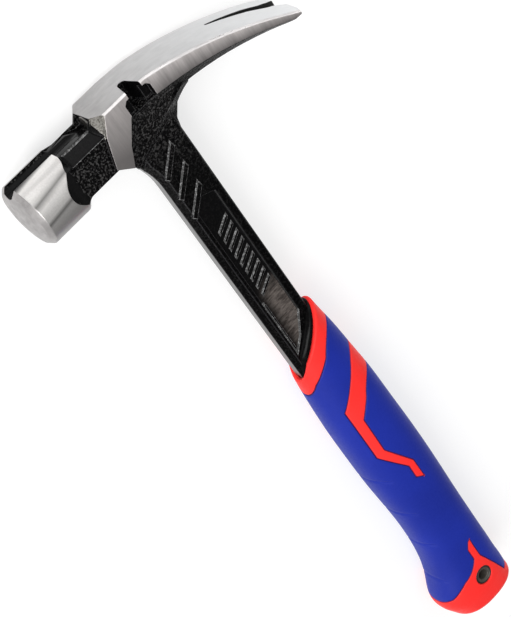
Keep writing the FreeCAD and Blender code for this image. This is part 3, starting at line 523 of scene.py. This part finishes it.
def outline(shares, place):
    """Side-view polygon from shares, where a nested pair is an arc's middle and end."""
    points = [place(*shares[0])]
    for entry in shares[1:]:
        if isinstance(entry[0], tuple):
            points += arc(points[-1], place(*entry[0]), place(*entry[1]))
        else:
            points.append(place(*entry))
    return np.array(points)


COLLAR = outline(COLLAR_ZONE_SHARES, from_mouth)
STRIPE = outline(STRIPE_ZONE_SHARES, between_ends)
BUTT = outline(BUTT_ZONE_SHARES, from_butt)


def line_distance(points, polygon, closed=True):
    """Distance in the side view from each point to a polygon's sides."""
    best = np.full(len(points), np.inf)
    ends = np.roll(polygon, -1, axis=0) if closed else polygon[1:]
    for start, end in zip(polygon, ends):
        run = end - start
        along = np.clip((points - start) @ run / max(run @ run, 1e-12), 0, 1)
        gap = points - (start + along[:, None] * run)
        best = np.minimum(best, np.hypot(gap[:, 0], gap[:, 1]))
    return best


def signed_distance(places, polygon):
    """Side-view distance to the polygon, negative inside it."""
    points = places[:, :2]
    inside = np.zeros(len(points), bool)
    for (x0, y0), (x1, y1) in zip(polygon, np.roll(polygon, -1, axis=0)):
        if y0 == y1:
            continue
        crosses = (points[:, 1] > y0) != (points[:, 1] > y1)
        at = x0 + (points[:, 1] - y0) * (x1 - x0) / (y1 - y0)
        inside ^= crosses & (points[:, 0] < at)
    distance = line_distance(points, polygon)
    return np.where(inside, -distance, distance)


# How many times its length each side of the mouth's bent line runs on past the skin
BACK_RUN, FRONT_RUN = 4, 6


def behind_mouth(places):
    """Distance down the grip from the mouth, square to its slant, in the side view."""
    knee, back, front = (np.array(point) for point in (MOUTH_KNEE, MOUTH_BACK, MOUTH_FRONT))
    line = np.array([knee + (back - knee) * BACK_RUN, knee, knee + (front - knee) * FRONT_RUN])
    distance = line_distance(places[:, :2], line, closed=False)
    return np.where(places[:, 0] < mouth_x(places[:, 1]), distance, -distance)


# Outer surface of the grip

# Share of the way to the butt, offset and depth as shares of HALF_DEPTH, thickness as one of HALF_THICKNESS
GRIP_SHARES = (
    (0.00, -0.17, 0.70, 0.72),
    (0.06, -0.173, 0.72, 0.74),
    (0.14, -0.185, 0.83, 0.80),
    (0.21, -0.18, 0.905, 0.885),
    (0.28, -0.188, 0.96, 0.955),
    (0.36, -0.185, 0.985, 0.985),
    (0.45, -0.20, 1.00, 1.00),
    (0.53, -0.215, 0.998, 0.99),
    (0.62, -0.24, 0.96, 0.97),
    (0.69, -0.245, 0.935, 0.96),
    (0.765, -0.22, 0.95, 0.97),
    (0.825, -0.16, 1.005, 1.01),
    (0.865, -0.08, 1.085, 1.05),
    (0.90, 0.01, 1.17, 1.07),
    (0.935, 0.0, 1.17, 1.07),
    (0.965, -0.09, 1.08, 1.01),
    (0.985, -0.17, 0.95, 0.88),
    (1.00, -0.26, 0.60, 0.52),
)
TIP_SHARE = 0.985
FULLER_START_SHARE = 0.16
FULLER_RUN_SHARE = 0.2


def spline(knots, values):
    """Natural cubic spline through the values at the knots, as a function."""
    steps = np.diff(knots)
    slopes = np.diff(values) / steps
    size = len(knots)
    matrix, right = np.eye(size), np.zeros(size)
    for i in range(1, size - 1):
        matrix[i, i - 1:i + 2] = steps[i - 1], 2 * (steps[i - 1] + steps[i]), steps[i]
        right[i] = 6 * (slopes[i] - slopes[i - 1])
    bends = np.linalg.solve(matrix, right)

    def value(x):
        i = np.clip(np.searchsorted(knots, x) - 1, 0, size - 2)
        after, before = (x - knots[i]) / steps[i], (knots[i + 1] - x) / steps[i]
        bend = (before ** 3 - before) * bends[i] + (after ** 3 - after) * bends[i + 1]
        return before * values[i] + after * values[i + 1] + bend * steps[i] ** 2 / 6

    return value


ROWS = np.array(GRIP_SHARES)
OFFSET = spline(ROWS[:, 0], ROWS[:, 1] * HALF_DEPTH)
DEPTH = spline(ROWS[:, 0], ROWS[:, 2] * HALF_DEPTH)
THICKNESS = spline(ROWS[:, 0], ROWS[:, 3] * HALF_THICKNESS)


def grip_point(along, turn, inset=0.0):
    """Points on the grip: a share of the way to the butt, a turn from the front and so far under its skin."""
    tip = np.clip((along - TIP_SHARE) / (1 - TIP_SHARE), 0, 1)
    dome = np.sqrt(1 - tip ** 2)
    cosine, sine = np.cos(turn), np.sin(turn)
    fuller = np.clip((along - FULLER_START_SHARE) / FULLER_RUN_SHARE, 0, 1)
    power = 2 / (MOUTH_ROUNDNESS + (ROUNDNESS - MOUTH_ROUNDNESS) * fuller)
    y = OFFSET(along) + (DEPTH(along) - inset) * dome * np.sign(cosine) * np.abs(cosine) ** power
    z = (THICKNESS(along) - inset) * dome * np.sign(sine) * np.abs(sine) ** power
    x = -(GRIP_TOP + (BUTT_REACH - GRIP_TOP) * along) + 0 * z
    return np.stack([x, y, z], axis=-1)


def ring_faces(rows, columns, closed):
    """Four-sided faces between neighbouring rings of points, and from last to first if closed."""
    faces = []
    for row in range(rows if closed else rows - 1):
        below = (row + 1) % rows
        for column in range(columns):
            following = (column + 1) % columns
            faces.append((row * columns + column, below * columns + column,
                          below * columns + following, row * columns + following))
    return faces


DOME_RINGS = 12


def grip_grid():
    """Grid over the whole grip, closed at the butt, as a bmesh in millimetres."""
    rows = int((BUTT_REACH - GRIP_TOP) * TIP_SHARE / GRID_STEP)
    columns = int(math.pi * (HALF_DEPTH + HALF_THICKNESS) / GRID_STEP / 4) * 4
    tip = np.sin(np.arange(1, DOME_RINGS) / DOME_RINGS * math.pi / 2)
    along = np.concatenate([np.linspace(0, TIP_SHARE, rows), TIP_SHARE + (1 - TIP_SHARE) * tip])
    turns = np.arange(columns) / columns * 2 * math.pi
    places = grip_point(along[:, None], turns[None, :]).reshape(-1, 3)
    faces = ring_faces(len(along), columns, closed=False)
    last, end = (len(along) - 1) * columns, len(places)
    faces += [(last + (column + 1) % columns, last + column, end) for column in range(columns)]
    places = np.vstack([places, [[-BUTT_REACH, float(OFFSET(1.0)), 0.0]]])
    mesh = bpy.data.meshes.new("grip_grid")
    mesh.from_pydata(places.tolist(), [], faces)
    bm = bmesh.new()
    bm.from_mesh(mesh)
    bpy.data.meshes.remove(mesh)
    return bm


SNAP_SHARE = 0.15


def cut_along(bm, field, level, locked):
    """Cut the faces where the field crosses a level. Near crossings move a vertex onto the line instead."""
    verts = list(bm.verts)
    places = np.array([v.co for v in verts])
    value = dict(zip(verts, (field(places) - level).tolist()))
    crossing = [e for e in bm.edges if value[e.verts[0]] * value[e.verts[1]] < 0]
    on_line = set()
    for edge in crossing:
        first, second = edge.verts
        share = value[first] / (value[first] - value[second])
        for vert, near, other in ((first, share, second), (second, 1 - share, first)):
            if near < SNAP_SHARE and vert not in locked and vert not in on_line:
                vert.co = vert.co.lerp(other.co, near)
                on_line.add(vert)
                break
    for vert in on_line:
        value[vert] = 0.0
    for edge in crossing:
        first, second = edge.verts
        if value[first] * value[second] < 0:
            share = value[first] / (value[first] - value[second])
            vert = bmesh.utils.edge_split(edge, first, share)[1]
            value[vert] = 0.0
            on_line.add(vert)
    waiting = list({face for vert in on_line for face in vert.link_faces})
    while waiting:
        face = waiting.pop()
        ring = [loop.vert for loop in face.loops]
        count = len(ring)
        marks = [i for i in range(count) if value[ring[i]] == 0.0]
        for i in marks:
            for j in marks:
                if j - i < 2 or (i == 0 and j == count - 1):
                    continue
                one = sum(value[v] for v in ring[i + 1:j])
                two = sum(value[v] for v in ring[j + 1:] + ring[:i])
                if one * two < 0:
                    made = bmesh.utils.face_split(face, ring[i], ring[j])[0]
                    waiting += [face, made]
                    break
            else:
                continue
            break
    locked |= on_line


def mean_places(bm):
    return np.array([face.calc_center_median() for face in bm.faces])


# Creases between the finger rests, as side-view points on the upper side: front edge, valley and end
FINGER_CREASES = (
    ((-212.5, 16.1), (-218.1, 14.0), (-223.6, 7.2)),
    ((-236.1, 15.7), (-243.3, 13.0), (-249.0, 6.1)),
    ((-260.8, 15.6), (-266.8, 13.4), (-271.7, 7.3)),
    ((-285.1, 19.3), (-291.0, 16.0), (-294.7, 13.0)),
)
CREASE_HALF_WIDTH = 0.9
CREASE_DEPTH = 0.42


def rounded_dip(distance, width, depth):
    """Depth of a round-bottomed dip at a distance from its line."""
    share = np.clip(1 - distance / width, 0, 1)
    return depth * share * share * (3 - 2 * share)


def seam_share(places):
    """One on the line between two colours, falling to nothing at the groove's edges."""
    gap = np.min([np.abs(signed_distance(places, zone)) for zone in (COLLAR, STRIPE, BUTT)], axis=0)
    return np.clip(1 - gap / GROOVE_HALF_WIDTH, 0, 1)


def sink(places):
    """How far each point of the grip's skin sinks under the smooth outer form."""
    depth = GROOVE_DEPTH * seam_share(places)
    for crease in FINGER_CREASES:
        gap = line_distance(places[:, :2], np.array(crease), closed=False)
        depth = depth + rounded_dip(gap, CREASE_HALF_WIDTH, CREASE_DEPTH)
    for gap, radius in ((behind_mouth(places), RIM_RADIUS), (around_hole(places), HOLE_RIM)):
        left = np.clip(radius - gap, 0, radius)
        depth = np.maximum(depth, radius - np.sqrt(radius ** 2 - left ** 2))
    return depth


def around_hole(places):
    return np.hypot(places[:, 0] - HANG_X, places[:, 1] - HANG_Y) - HOLE_RADIUS


def trim(bm, field, locked):
    """Cut along a field's zero line and drop the faces on its negative side."""
    cut_along(bm, field, 0.0, locked)
    keep = field(mean_places(bm)) > 0
    bmesh.ops.delete(bm, geom=[face for face, kept in zip(list(bm.faces), keep) if not kept], context="FACES")
    return {vert for vert in locked if vert.is_valid}


RIM_CUT_SHARES = (0.15, 0.5, 1.0)


GRIP_ZONES = (("grip_collar", COLLAR), ("stripe_inlay", STRIPE), ("butt_cap", BUTT), ("grip_sleeve", None))


def grip_pieces():
    """Collar, stripe, butt cap and sleeve: one skin, cut along the outlines and given its wall."""
    bm = grip_grid()
    locked = trim(bm, behind_mouth, set())
    locked = trim(bm, around_hole, locked)
    for zone in (COLLAR, STRIPE, BUTT):
        for level in (0.0, -GROOVE_HALF_WIDTH, GROOVE_HALF_WIDTH):
            cut_along(bm, lambda places: signed_distance(places, zone), level, locked)
    for share in RIM_CUT_SHARES:
        cut_along(bm, behind_mouth, RIM_RADIUS * share, locked)
        cut_along(bm, around_hole, HOLE_RIM * share, locked)
    bm.normal_update()
    bm.verts.index_update()
    places = np.array([v.co for v in bm.verts])
    normals = np.array([v.normal for v in bm.verts])
    outer = places - normals * sink(places)[:, None]
    inner = places - normals * SOFT_WALL
    seam = seam_share(places)
    centres = mean_places(bm)
    faces = [[v.index for v in face.verts] for face in bm.faces]
    taken = np.zeros(len(faces), bool)
    pieces = []
    for name, zone in GRIP_ZONES:
        chosen = ~taken
        if zone is not None:
            chosen = signed_distance(centres, zone) < 0
        taken |= chosen
        picked = [face for face, pick in zip(faces, chosen) if pick]
        pieces.append(walled(name, outer, inner, seam, picked))
    bm.free()
    return pieces


def walled(name, outer, inner, seam, faces):
    """Closed piece from a patch of the skin: outer faces, inner faces and the walls around the patch."""
    used = sorted({index for face in faces for index in face})
    number = {index: place for place, index in enumerate(used)}
    count = len(used)
    edges = set()
    for face in faces:
        edges |= set(zip(face, face[1:] + face[:1]))
    top = [[number[i] for i in face] for face in faces]
    under = [[number[i] + count for i in reversed(face)] for face in faces]
    rim = [[number[b], number[a], number[a] + count, number[b] + count] for a, b in sorted(edges)
           if (b, a) not in edges]
    mesh = bpy.data.meshes.new(name)
    mesh.from_pydata(to_metres(np.vstack([outer[used], inner[used]])), [], top + under + rim)
    smooth(mesh)
    mesh.polygons.foreach_set("use_smooth", [True] * (2 * len(faces)) + [False] * len(rim))
    # The painted shade of the seam groove, kept on the mesh for the rubber's colour
    seam_shade_layer = mesh.attributes.new("seam", "FLOAT", "POINT")
    seam_shade_layer.data.foreach_set("value", np.tile(seam[used], 2).astype(np.float32))
    return link(name + "_moulded", mesh)


def make_grip():
    finish = {"grip_collar": (RED, "red_rubber"), "stripe_inlay": (RED, "red_rubber"),
              "butt_cap": (RED, "red_rubber"), "grip_sleeve": (BLUE, "blue_rubber")}
    for piece in grip_pieces():
        node = piece.name.replace("_moulded", "")
        material, slot = finish[node]
        piece.data.materials.append(material)
        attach(piece, "root")
        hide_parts(node)


# Hard core: the black lip that shows ahead of the mouth, drawn down onto the shank

# Distance ahead of the mouth and depth under the grip's outer form
LIP_PROFILE = (
    (-8.0, 2.0), (-0.6, 1.9), (0.4, 1.75), (1.5, 1.85), (2.1, 2.2), (2.6, 2.9), (3.2, 4.2), (3.9, 6.6),
)
LIP_COLUMNS = 144
LIP_SEARCHES = 12
CORE_INNER_INSET = 7.6


def lip_ring(ahead, inset, turns):
    """Ring around the grip at a distance ahead of the mouth, so far under the grip's outer form."""
    length = BUTT_REACH - GRIP_TOP
    slope = math.hypot(MOUTH_KNEE[0] - MOUTH_BACK[0], MOUTH_KNEE[1] - MOUTH_BACK[1])
    slope /= abs(MOUTH_KNEE[1] - MOUTH_BACK[1])
    along = np.full(len(turns), 0.1)
    for _ in range(LIP_SEARCHES):
        places = grip_point(along, turns, inset)
        target = mouth_x(places[:, 1]) + ahead * slope
        along = np.clip((-target - GRIP_TOP) / length, -0.05, 1)
    return grip_point(along, turns, inset)


def make_core():
    turns = np.arange(LIP_COLUMNS) / LIP_COLUMNS * 2 * math.pi
    inner = [(LIP_PROFILE[end][0], CORE_INNER_INSET) for end in (-1, 0)]
    rings = [lip_ring(ahead, inset, turns) for ahead, inset in [*LIP_PROFILE, *inner]]
    mesh = bpy.data.meshes.new("grip_core_lip")
    mesh.from_pydata(to_metres(np.vstack(rings)), [], ring_faces(len(rings), LIP_COLUMNS, closed=True))
    smooth(mesh)
    piece = link("grip_core_lip", mesh)
    mesh.materials.append(CORE_BLACK)
    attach(piece, "root")
    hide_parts("grip_core")


# Forging: the solid's own mesh, its edges broken, its faces shared out between enamel and bare steel

RING_START = 36.0
RIM_START = FACE_REACH - FACE_CROWN - 2.1
NECK_START = 20.7
NECK_END = 38.0
HEAD_FRONT = 10.0
HEAD_FOOT = -12.0
SHOULDER_KNEE = 6.6
SHOULDER_INNER = 6.2
NOTCH_HALF_LENGTH = 7.5
NOTCH_FOOT = 5.2
NOTCH_FLOOR = 2.5
NEAR_TOP = 1.5
TOP_BEVEL = 1.0
BAND_SLACK = 0.3
CHEEK_SLACK = 0.95
CHEEK_BACK = -6.0
UNDERSIDE_START = -14.0
SLOT_START = -43.0
SLOT_HALF_WIDTH = 8.0
CLAW_END_START = -60.0
STRIP_START = -19.9
MOUTH_REACH = -160.0
PANEL_FLOOR = SHANK_HALF_THICKNESS - 0.8
RIB_ZONE = (-58.0, -16.0)
BAR_ZONE = (-104.0, -60.0)
BAR_HALF_LENGTH = 5.2
FIN_ZONE = -105.0
PANEL_REACH = 9.0

# A face's finish is its place in this row of materials
FORGING_MATERIALS = (
    ENAMEL, RING_STEEL, TOP_STEEL, SIDE_STEEL, SHOULDER_STEEL, STRIP_STEEL, PANEL_ENAMEL,
    EDGE_HIGHLIGHT_ENAMEL, FACE_STEEL, EDGE_HIGHLIGHT_STEEL, RELIEF_HIGHLIGHT_ENAMEL, SLOT_SHADE_STEEL, UNDER_SHADED_ENAMEL,
)
ENAMELLED, TURNED, TOP, SIDE, SHOULDER, STRIP, SMOOTH, EDGE, FACE, POLISHED_HIGHLIGHT, RELIEF, SLOT, UNDER = range(13)

# How much of a face's direction lies along an axis: nearly all, or at least half
SQUARE = 0.9
FACING = 0.5
# Half the width of the strip in which a line between two finishes may fall
LINE_SLACK = 0.1


def claw_top(y):
    """Height of the claw's top edge at a distance y in front of the handle centreline."""
    out = CLAW_BEND_START - y
    if out <= 0:
        return HEAD_TOP
    bend = CLAW_BEND_RADIUS * math.sin(CLAW_BEND_TURN)
    if out <= bend:
        return HEAD_TOP - CLAW_BEND_RADIUS + math.sqrt(CLAW_BEND_RADIUS ** 2 - out ** 2)
    rest = out - bend
    straight = CLAW_BEND_RADIUS * (1 - math.cos(CLAW_BEND_TURN)) + rest * math.tan(CLAW_BEND_TURN)
    return HEAD_TOP - straight - rest ** 2 / (2 * CLAW_TAIL_RADIUS)


def forging_finish(centre, normal):
    """Which finish a face of the forging has, from its place in millimetres and its direction."""
    x, y, z = centre
    radius = math.hypot(x, z)
    outward = (normal.x * x + normal.z * z) / radius
    width, sideways = abs(z), abs(normal.z)
    if y > RIM_START:
        return FACE
    if y > RING_START and radius > FACE_RADIUS - 0.2 and outward > 0.99:
        return TURNED
    if y > NECK_START:
        return ENAMELLED if sideways > SQUARE else SMOOTH
    if in_notch(x, y, z, normal):
        return SMOOTH
    if y > HEAD_FRONT and normal.y > 0.3:
        if x > SHOULDER_KNEE and width > SHOULDER_INNER:
            return SHOULDER
        if x > HEAD_FOOT:
            return SMOOTH
    if x > claw_top(y) - NEAR_TOP:
        # The polished strip along the top's edge, its light tone partly a painted highlight
        if FACING < normal.x < 0.85 and sideways > FACING and width > CHEEK_HALF_WIDTH - TOP_BEVEL:
            return POLISHED_HIGHLIGHT
        if normal.x > 0.4:
            return TOP
    if y < CLAW_END_START and normal.y < -FACING:
        return TOP
    # The slot's walls take the near-black steel, painted shade
    if y < SLOT_START and width < SLOT_HALF_WIDTH and sideways > FACING:
        return SLOT
    upright = sideways > 0.72 and abs(normal.x) < 0.3
    if y < CHEEK_BACK + LINE_SLACK and upright and width > CHEEK_HALF_WIDTH - BAND_SLACK:
        return SIDE
    if y > CHEEK_BACK - LINE_SLACK and sideways > 0.6 and width > CHEEK_HALF_WIDTH - CHEEK_SLACK:
        return SIDE
    # The claw's underside takes the darker enamel, painted shade
    if y < UNDERSIDE_START and normal.x < -0.05:
        return UNDER
    if MOUTH_REACH < x < STRIP_START:
        if normal.y > SQUARE:
            return STRIP
        if sideways > SQUARE and width < PANEL_FLOOR + 0.05:
            return SMOOTH
    return ENAMELLED


def in_notch(x, y, z, normal):
    """Whether a face is a wall or floor of the side nail puller, not the bare skin that it cuts through."""
    inside = abs(y) < NOTCH_HALF_LENGTH and x > NOTCH_FOOT and NOTCH_FLOOR < z < CHEEK_HALF_WIDTH + LINE_SLACK
    on_cheek = z > CHEEK_HALF_WIDTH - 0.05
    on_top = normal.x > 0.95 or (normal.x > FACING and normal.z > FACING)
    return inside and not on_cheek and not on_top


def edge_finish(place, normal):
    """Finish of an enamelled edge: a painted highlight, bright on the neck's ridges and on the shank's
    relief, faint on the other edges off the neck.
    """
    across, up = abs(place.y), abs(place.z)
    if place.y > NECK_START:
        ridge = 0.8 < abs(normal.z) < 0.98 and normal.x > 0.2 and place.y < NECK_END
        return RELIEF if ridge else SMOOTH
    on_rib = RIB_ZONE[0] < place.x < RIB_ZONE[1] and up > SHANK_HALF_THICKNESS + 0.02
    on_bar = BAR_ZONE[0] < place.x < BAR_ZONE[1] and up > PANEL_FLOOR - LINE_SLACK
    on_fin = place.x < FIN_ZONE and up > PANEL_FLOOR and across < PANEL_REACH
    return RELIEF if on_rib or on_fin or (on_bar and across < BAR_HALF_LENGTH) else EDGE


NECK_FLAT_START = 20.0
NECK_FLAT_AREA = 60.0
NECK_PANEL_BORDER = 0.8
NECK_PANEL_DEPTH = 0.4


def sink_neck_panels(bm):
    """Shallow panel in each slanted flat on the neck's upper corners."""
    flats = []
    for face in bm.faces:
        place = (face.calc_center_median() - DATUM) / MM
        slanted = abs(face.normal.y) < 0.02 and 0.65 < face.normal.x < 0.85
        if slanted and NECK_FLAT_START < place.y < NECK_END and face.calc_area() > NECK_FLAT_AREA * MM * MM:
            flats.append(face)
    border, depth = NECK_PANEL_BORDER * MM, NECK_PANEL_DEPTH * MM
    bmesh.ops.inset_individual(bm, faces=flats, thickness=border, depth=-depth)


SHARP_TURN = math.radians(24)
EDGE_BREAK = 0.3
STRAY_SHARE = 0.6
SLIVER = 0.01


def break_edges(bm):
    """Small round on every sharp edge. A corner that leaves the solid's skin is put back on it."""
    skin = BVHTree.FromBMesh(bm)
    sharp = [edge for edge in bm.edges if len(edge.link_faces) == 2 and edge.calc_face_angle() > SHARP_TURN]
    made = bmesh.ops.bevel(bm, geom=sharp, offset=EDGE_BREAK * MM, offset_type="OFFSET", segments=2,
                           profile=0.5, affect="EDGES", clamp_overlap=False, material=-1, loop_slide=True)
    for face in made["faces"]:
        # Bevels of black enamel take the edge enamels' painted highlights
        if face.material_index in (ENAMELLED, SMOOTH):
            face.material_index = edge_finish((face.calc_center_median() - DATUM) / MM, face.normal)
    for vert in bm.verts:
        place, _, _, gap = skin.find_nearest(vert.co)
        if gap > EDGE_BREAK * STRAY_SHARE * MM:
            vert.co = place
    bmesh.ops.remove_doubles(bm, verts=bm.verts, dist=SLIVER * MM)
    bmesh.ops.dissolve_degenerate(bm, dist=SLIVER * MM, edges=bm.edges)


WELD = 0.002
LEVEL_TURN = math.radians(0.2)
SHADING_TURN = math.radians(40)


def make_forging():
    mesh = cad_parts["forged_body"].data.copy()
    mesh.name = "forged_body_finished"
    mesh.materials.clear()
    for material in FORGING_MATERIALS:
        mesh.materials.append(material)
    bm = bmesh.new()
    bm.from_mesh(mesh)
    bmesh.ops.remove_doubles(bm, verts=bm.verts, dist=WELD * MM)
    strip = [face for face in bm.faces if face.normal.y > SQUARE and face.calc_center_median().x < DATUM.x]
    edges = {edge for face in strip for edge in face.edges}
    verts = {vert for face in strip for vert in face.verts}
    bmesh.ops.bisect_plane(bm, geom=[*strip, *edges, *verts], dist=1e-7, plane_no=(1, 0, 0),
                           plane_co=DATUM + Vector((STRIP_START * MM, 0, 0)))
    for face in bm.faces:
        face.material_index = forging_finish((face.calc_center_median() - DATUM) / MM, face.normal)
    bmesh.ops.dissolve_limit(bm, angle_limit=LEVEL_TURN, use_dissolve_boundaries=False, verts=bm.verts,
                             edges=bm.edges, delimit={"MATERIAL"})
    sink_neck_panels(bm)
    break_edges(bm)
    for face in bm.faces:
        face.smooth = True
    bm.to_mesh(mesh)
    bm.free()
    mesh.set_sharp_from_angle(angle=SHADING_TURN)
    piece = link("forged_body_finished", mesh)
    weighted = piece.modifiers.new("flat_faces_first", "WEIGHTED_NORMAL")
    weighted.keep_sharp = True
    weighted.weight = 80
    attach(piece, "root")
    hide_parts("forged_body")


# Hanging hole's eyelet: a turned tube whose two flanges are dished

EYELET_HALF_LENGTH = 13.6
# Radius and height over the half length, from the outside of the tube round to its bore
EYELET_RING_PROFILE = (
    (3.5, -1.5), (3.6, -1.05), (4.5, -1.0), (4.68, -0.8), (4.7, -0.35), (4.6, -0.12), (4.4, -0.01),
    (4.15, 0.0), (3.95, -0.1), (3.8, -0.3),
)
EYELET_DISH_PROFILE = ((3.3, -0.45), (2.95, -0.5), (2.75, -0.58), (2.63, -0.75), (2.6, -1.1))
EYELET_COLUMNS = 72


def make_eyelet():
    profile = EYELET_RING_PROFILE + EYELET_DISH_PROFILE
    upper = [(radius, EYELET_HALF_LENGTH + rise) for radius, rise in profile]
    loop = upper + [(radius, -height) for radius, height in reversed(upper)]
    turns = np.arange(EYELET_COLUMNS) / EYELET_COLUMNS * 2 * math.pi
    places = np.array([(HANG_X + radius * math.cos(turn), HANG_Y + radius * math.sin(turn), height)
                       for radius, height in loop for turn in turns])
    count = len(loop)
    faces = [(a, d, c, b) for a, b, c, d in ring_faces(count, EYELET_COLUMNS, closed=True)]
    ring_end = len(EYELET_RING_PROFILE) - 1
    dish = [int(ring_end <= row < count - 1 - ring_end) for row in range(count) for _ in turns]
    mesh = bpy.data.meshes.new("hang_eyelet_turned")
    mesh.from_pydata(to_metres(places), [], faces)
    mesh.materials.append(EYELET_RING)
    mesh.materials.append(EYELET_DISH)
    mesh.polygons.foreach_set("material_index", dish)
    smooth(mesh)
    piece = link("hang_eyelet_turned", mesh)
    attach(piece, "root")
    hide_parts("hang_eyelet")


def finish_magnet():
    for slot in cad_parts["nail_magnet"].material_slots:
        slot.material = MAGNET_NICKEL


# Camera, lights and floor

CAMERA_PLACE = (349.43, 214.84, 638.87)
CAMERA_TURN = (-17.964, -34.287, -125.755)
FOCAL_PIXELS = 1904.79
IMAGE_HEIGHT = 617
SENSOR = 36


def make_camera():
    data = bpy.data.cameras.new("camera")
    data.sensor_width = SENSOR
    data.sensor_fit = "AUTO"
    data.lens = FOCAL_PIXELS / IMAGE_HEIGHT * SENSOR
    data.clip_start = 0.01
    data.clip_end = 50
    camera = link("camera", data)
    camera.location = DATUM + Vector(CAMERA_PLACE) * MM
    camera.rotation_euler = [math.radians(angle) for angle in CAMERA_TURN]
    bpy.context.scene.camera = camera


def softbox(name, direction, distance, width, height, power):
    """Area light out along a direction from the hammer's middle, facing it."""
    data = bpy.data.lights.new(name, "AREA")
    data.shape = "RECTANGLE"
    data.size, data.size_y, data.energy = width, height, power
    light = link(name, data)
    out = Vector(direction).normalized()
    light.location = out * distance
    light.rotation_euler = out.to_track_quat("Z", "Y").to_euler()


WORLD_STRENGTH = 0.34
FLAG_DIRECTION = (-0.56, -0.26, 0.79)
FLAG_SHARE = 0.6
FLAG_EDGE, FLAG_FULL = 0.55, 0.85


def make_world():
    """White room with a grey flag on the side that the flat dark steel mirrors towards the camera."""
    world = bpy.data.worlds.new("studio")
    world.use_nodes = True
    tree = world.node_tree
    place = tree.nodes.new("ShaderNodeTexCoord")
    facing = tree.nodes.new("ShaderNodeVectorMath")
    facing.operation = "DOT_PRODUCT"
    facing.inputs[1].default_value = FLAG_DIRECTION
    tree.links.new(place.outputs["Generated"], facing.inputs[0])
    fade = tree.nodes.new("ShaderNodeMapRange")
    limits = (("From Min", FLAG_EDGE), ("From Max", FLAG_FULL), ("To Min", 1.0), ("To Max", FLAG_SHARE))
    for key, value in limits:
        fade.inputs[key].default_value = value
    tree.links.new(facing.outputs["Value"], fade.inputs["Value"])
    background = tree.nodes["Background"]
    tree.links.new(fade.outputs["Result"], background.inputs["Color"])
    background.inputs["Strength"].default_value = WORLD_STRENGTH
    bpy.context.scene.world = world


FLOOR_HALF = 3.0
# Name, direction, distance, width, height and power
LIGHTS = (
    ("key", (0.15, 0.8, 0.75), 1.6, 1.2, 1.0, 19),
    ("ring_light", (0.79, -0.25, 0.56), 1.5, 1.1, 1.1, 4.2),
    ("overhead", (0.3, 0.3, 1.0), 1.5, 0.8, 0.8, 5),
    ("back_fill", (0.3, -0.9, 0.5), 1.7, 1.2, 0.8, 5),
)


def make_studio():
    mesh = bpy.data.meshes.new("floor")
    corners = [(x * FLOOR_HALF, y * FLOOR_HALF, 0) for x, y in ((-1, -1), (1, -1), (1, 1), (-1, 1))]
    mesh.from_pydata(corners, [], [(0, 1, 2, 3)])
    mesh.materials.append(floor_paint())
    floor = link("floor", mesh)
    make_world()
    for light in LIGHTS:
        softbox(*light)
    bpy.context.scene.view_settings.view_transform = "Standard"


make_camera()
make_studio()
make_grip()
make_core()
make_forging()
make_eyelet()
finish_magnet()
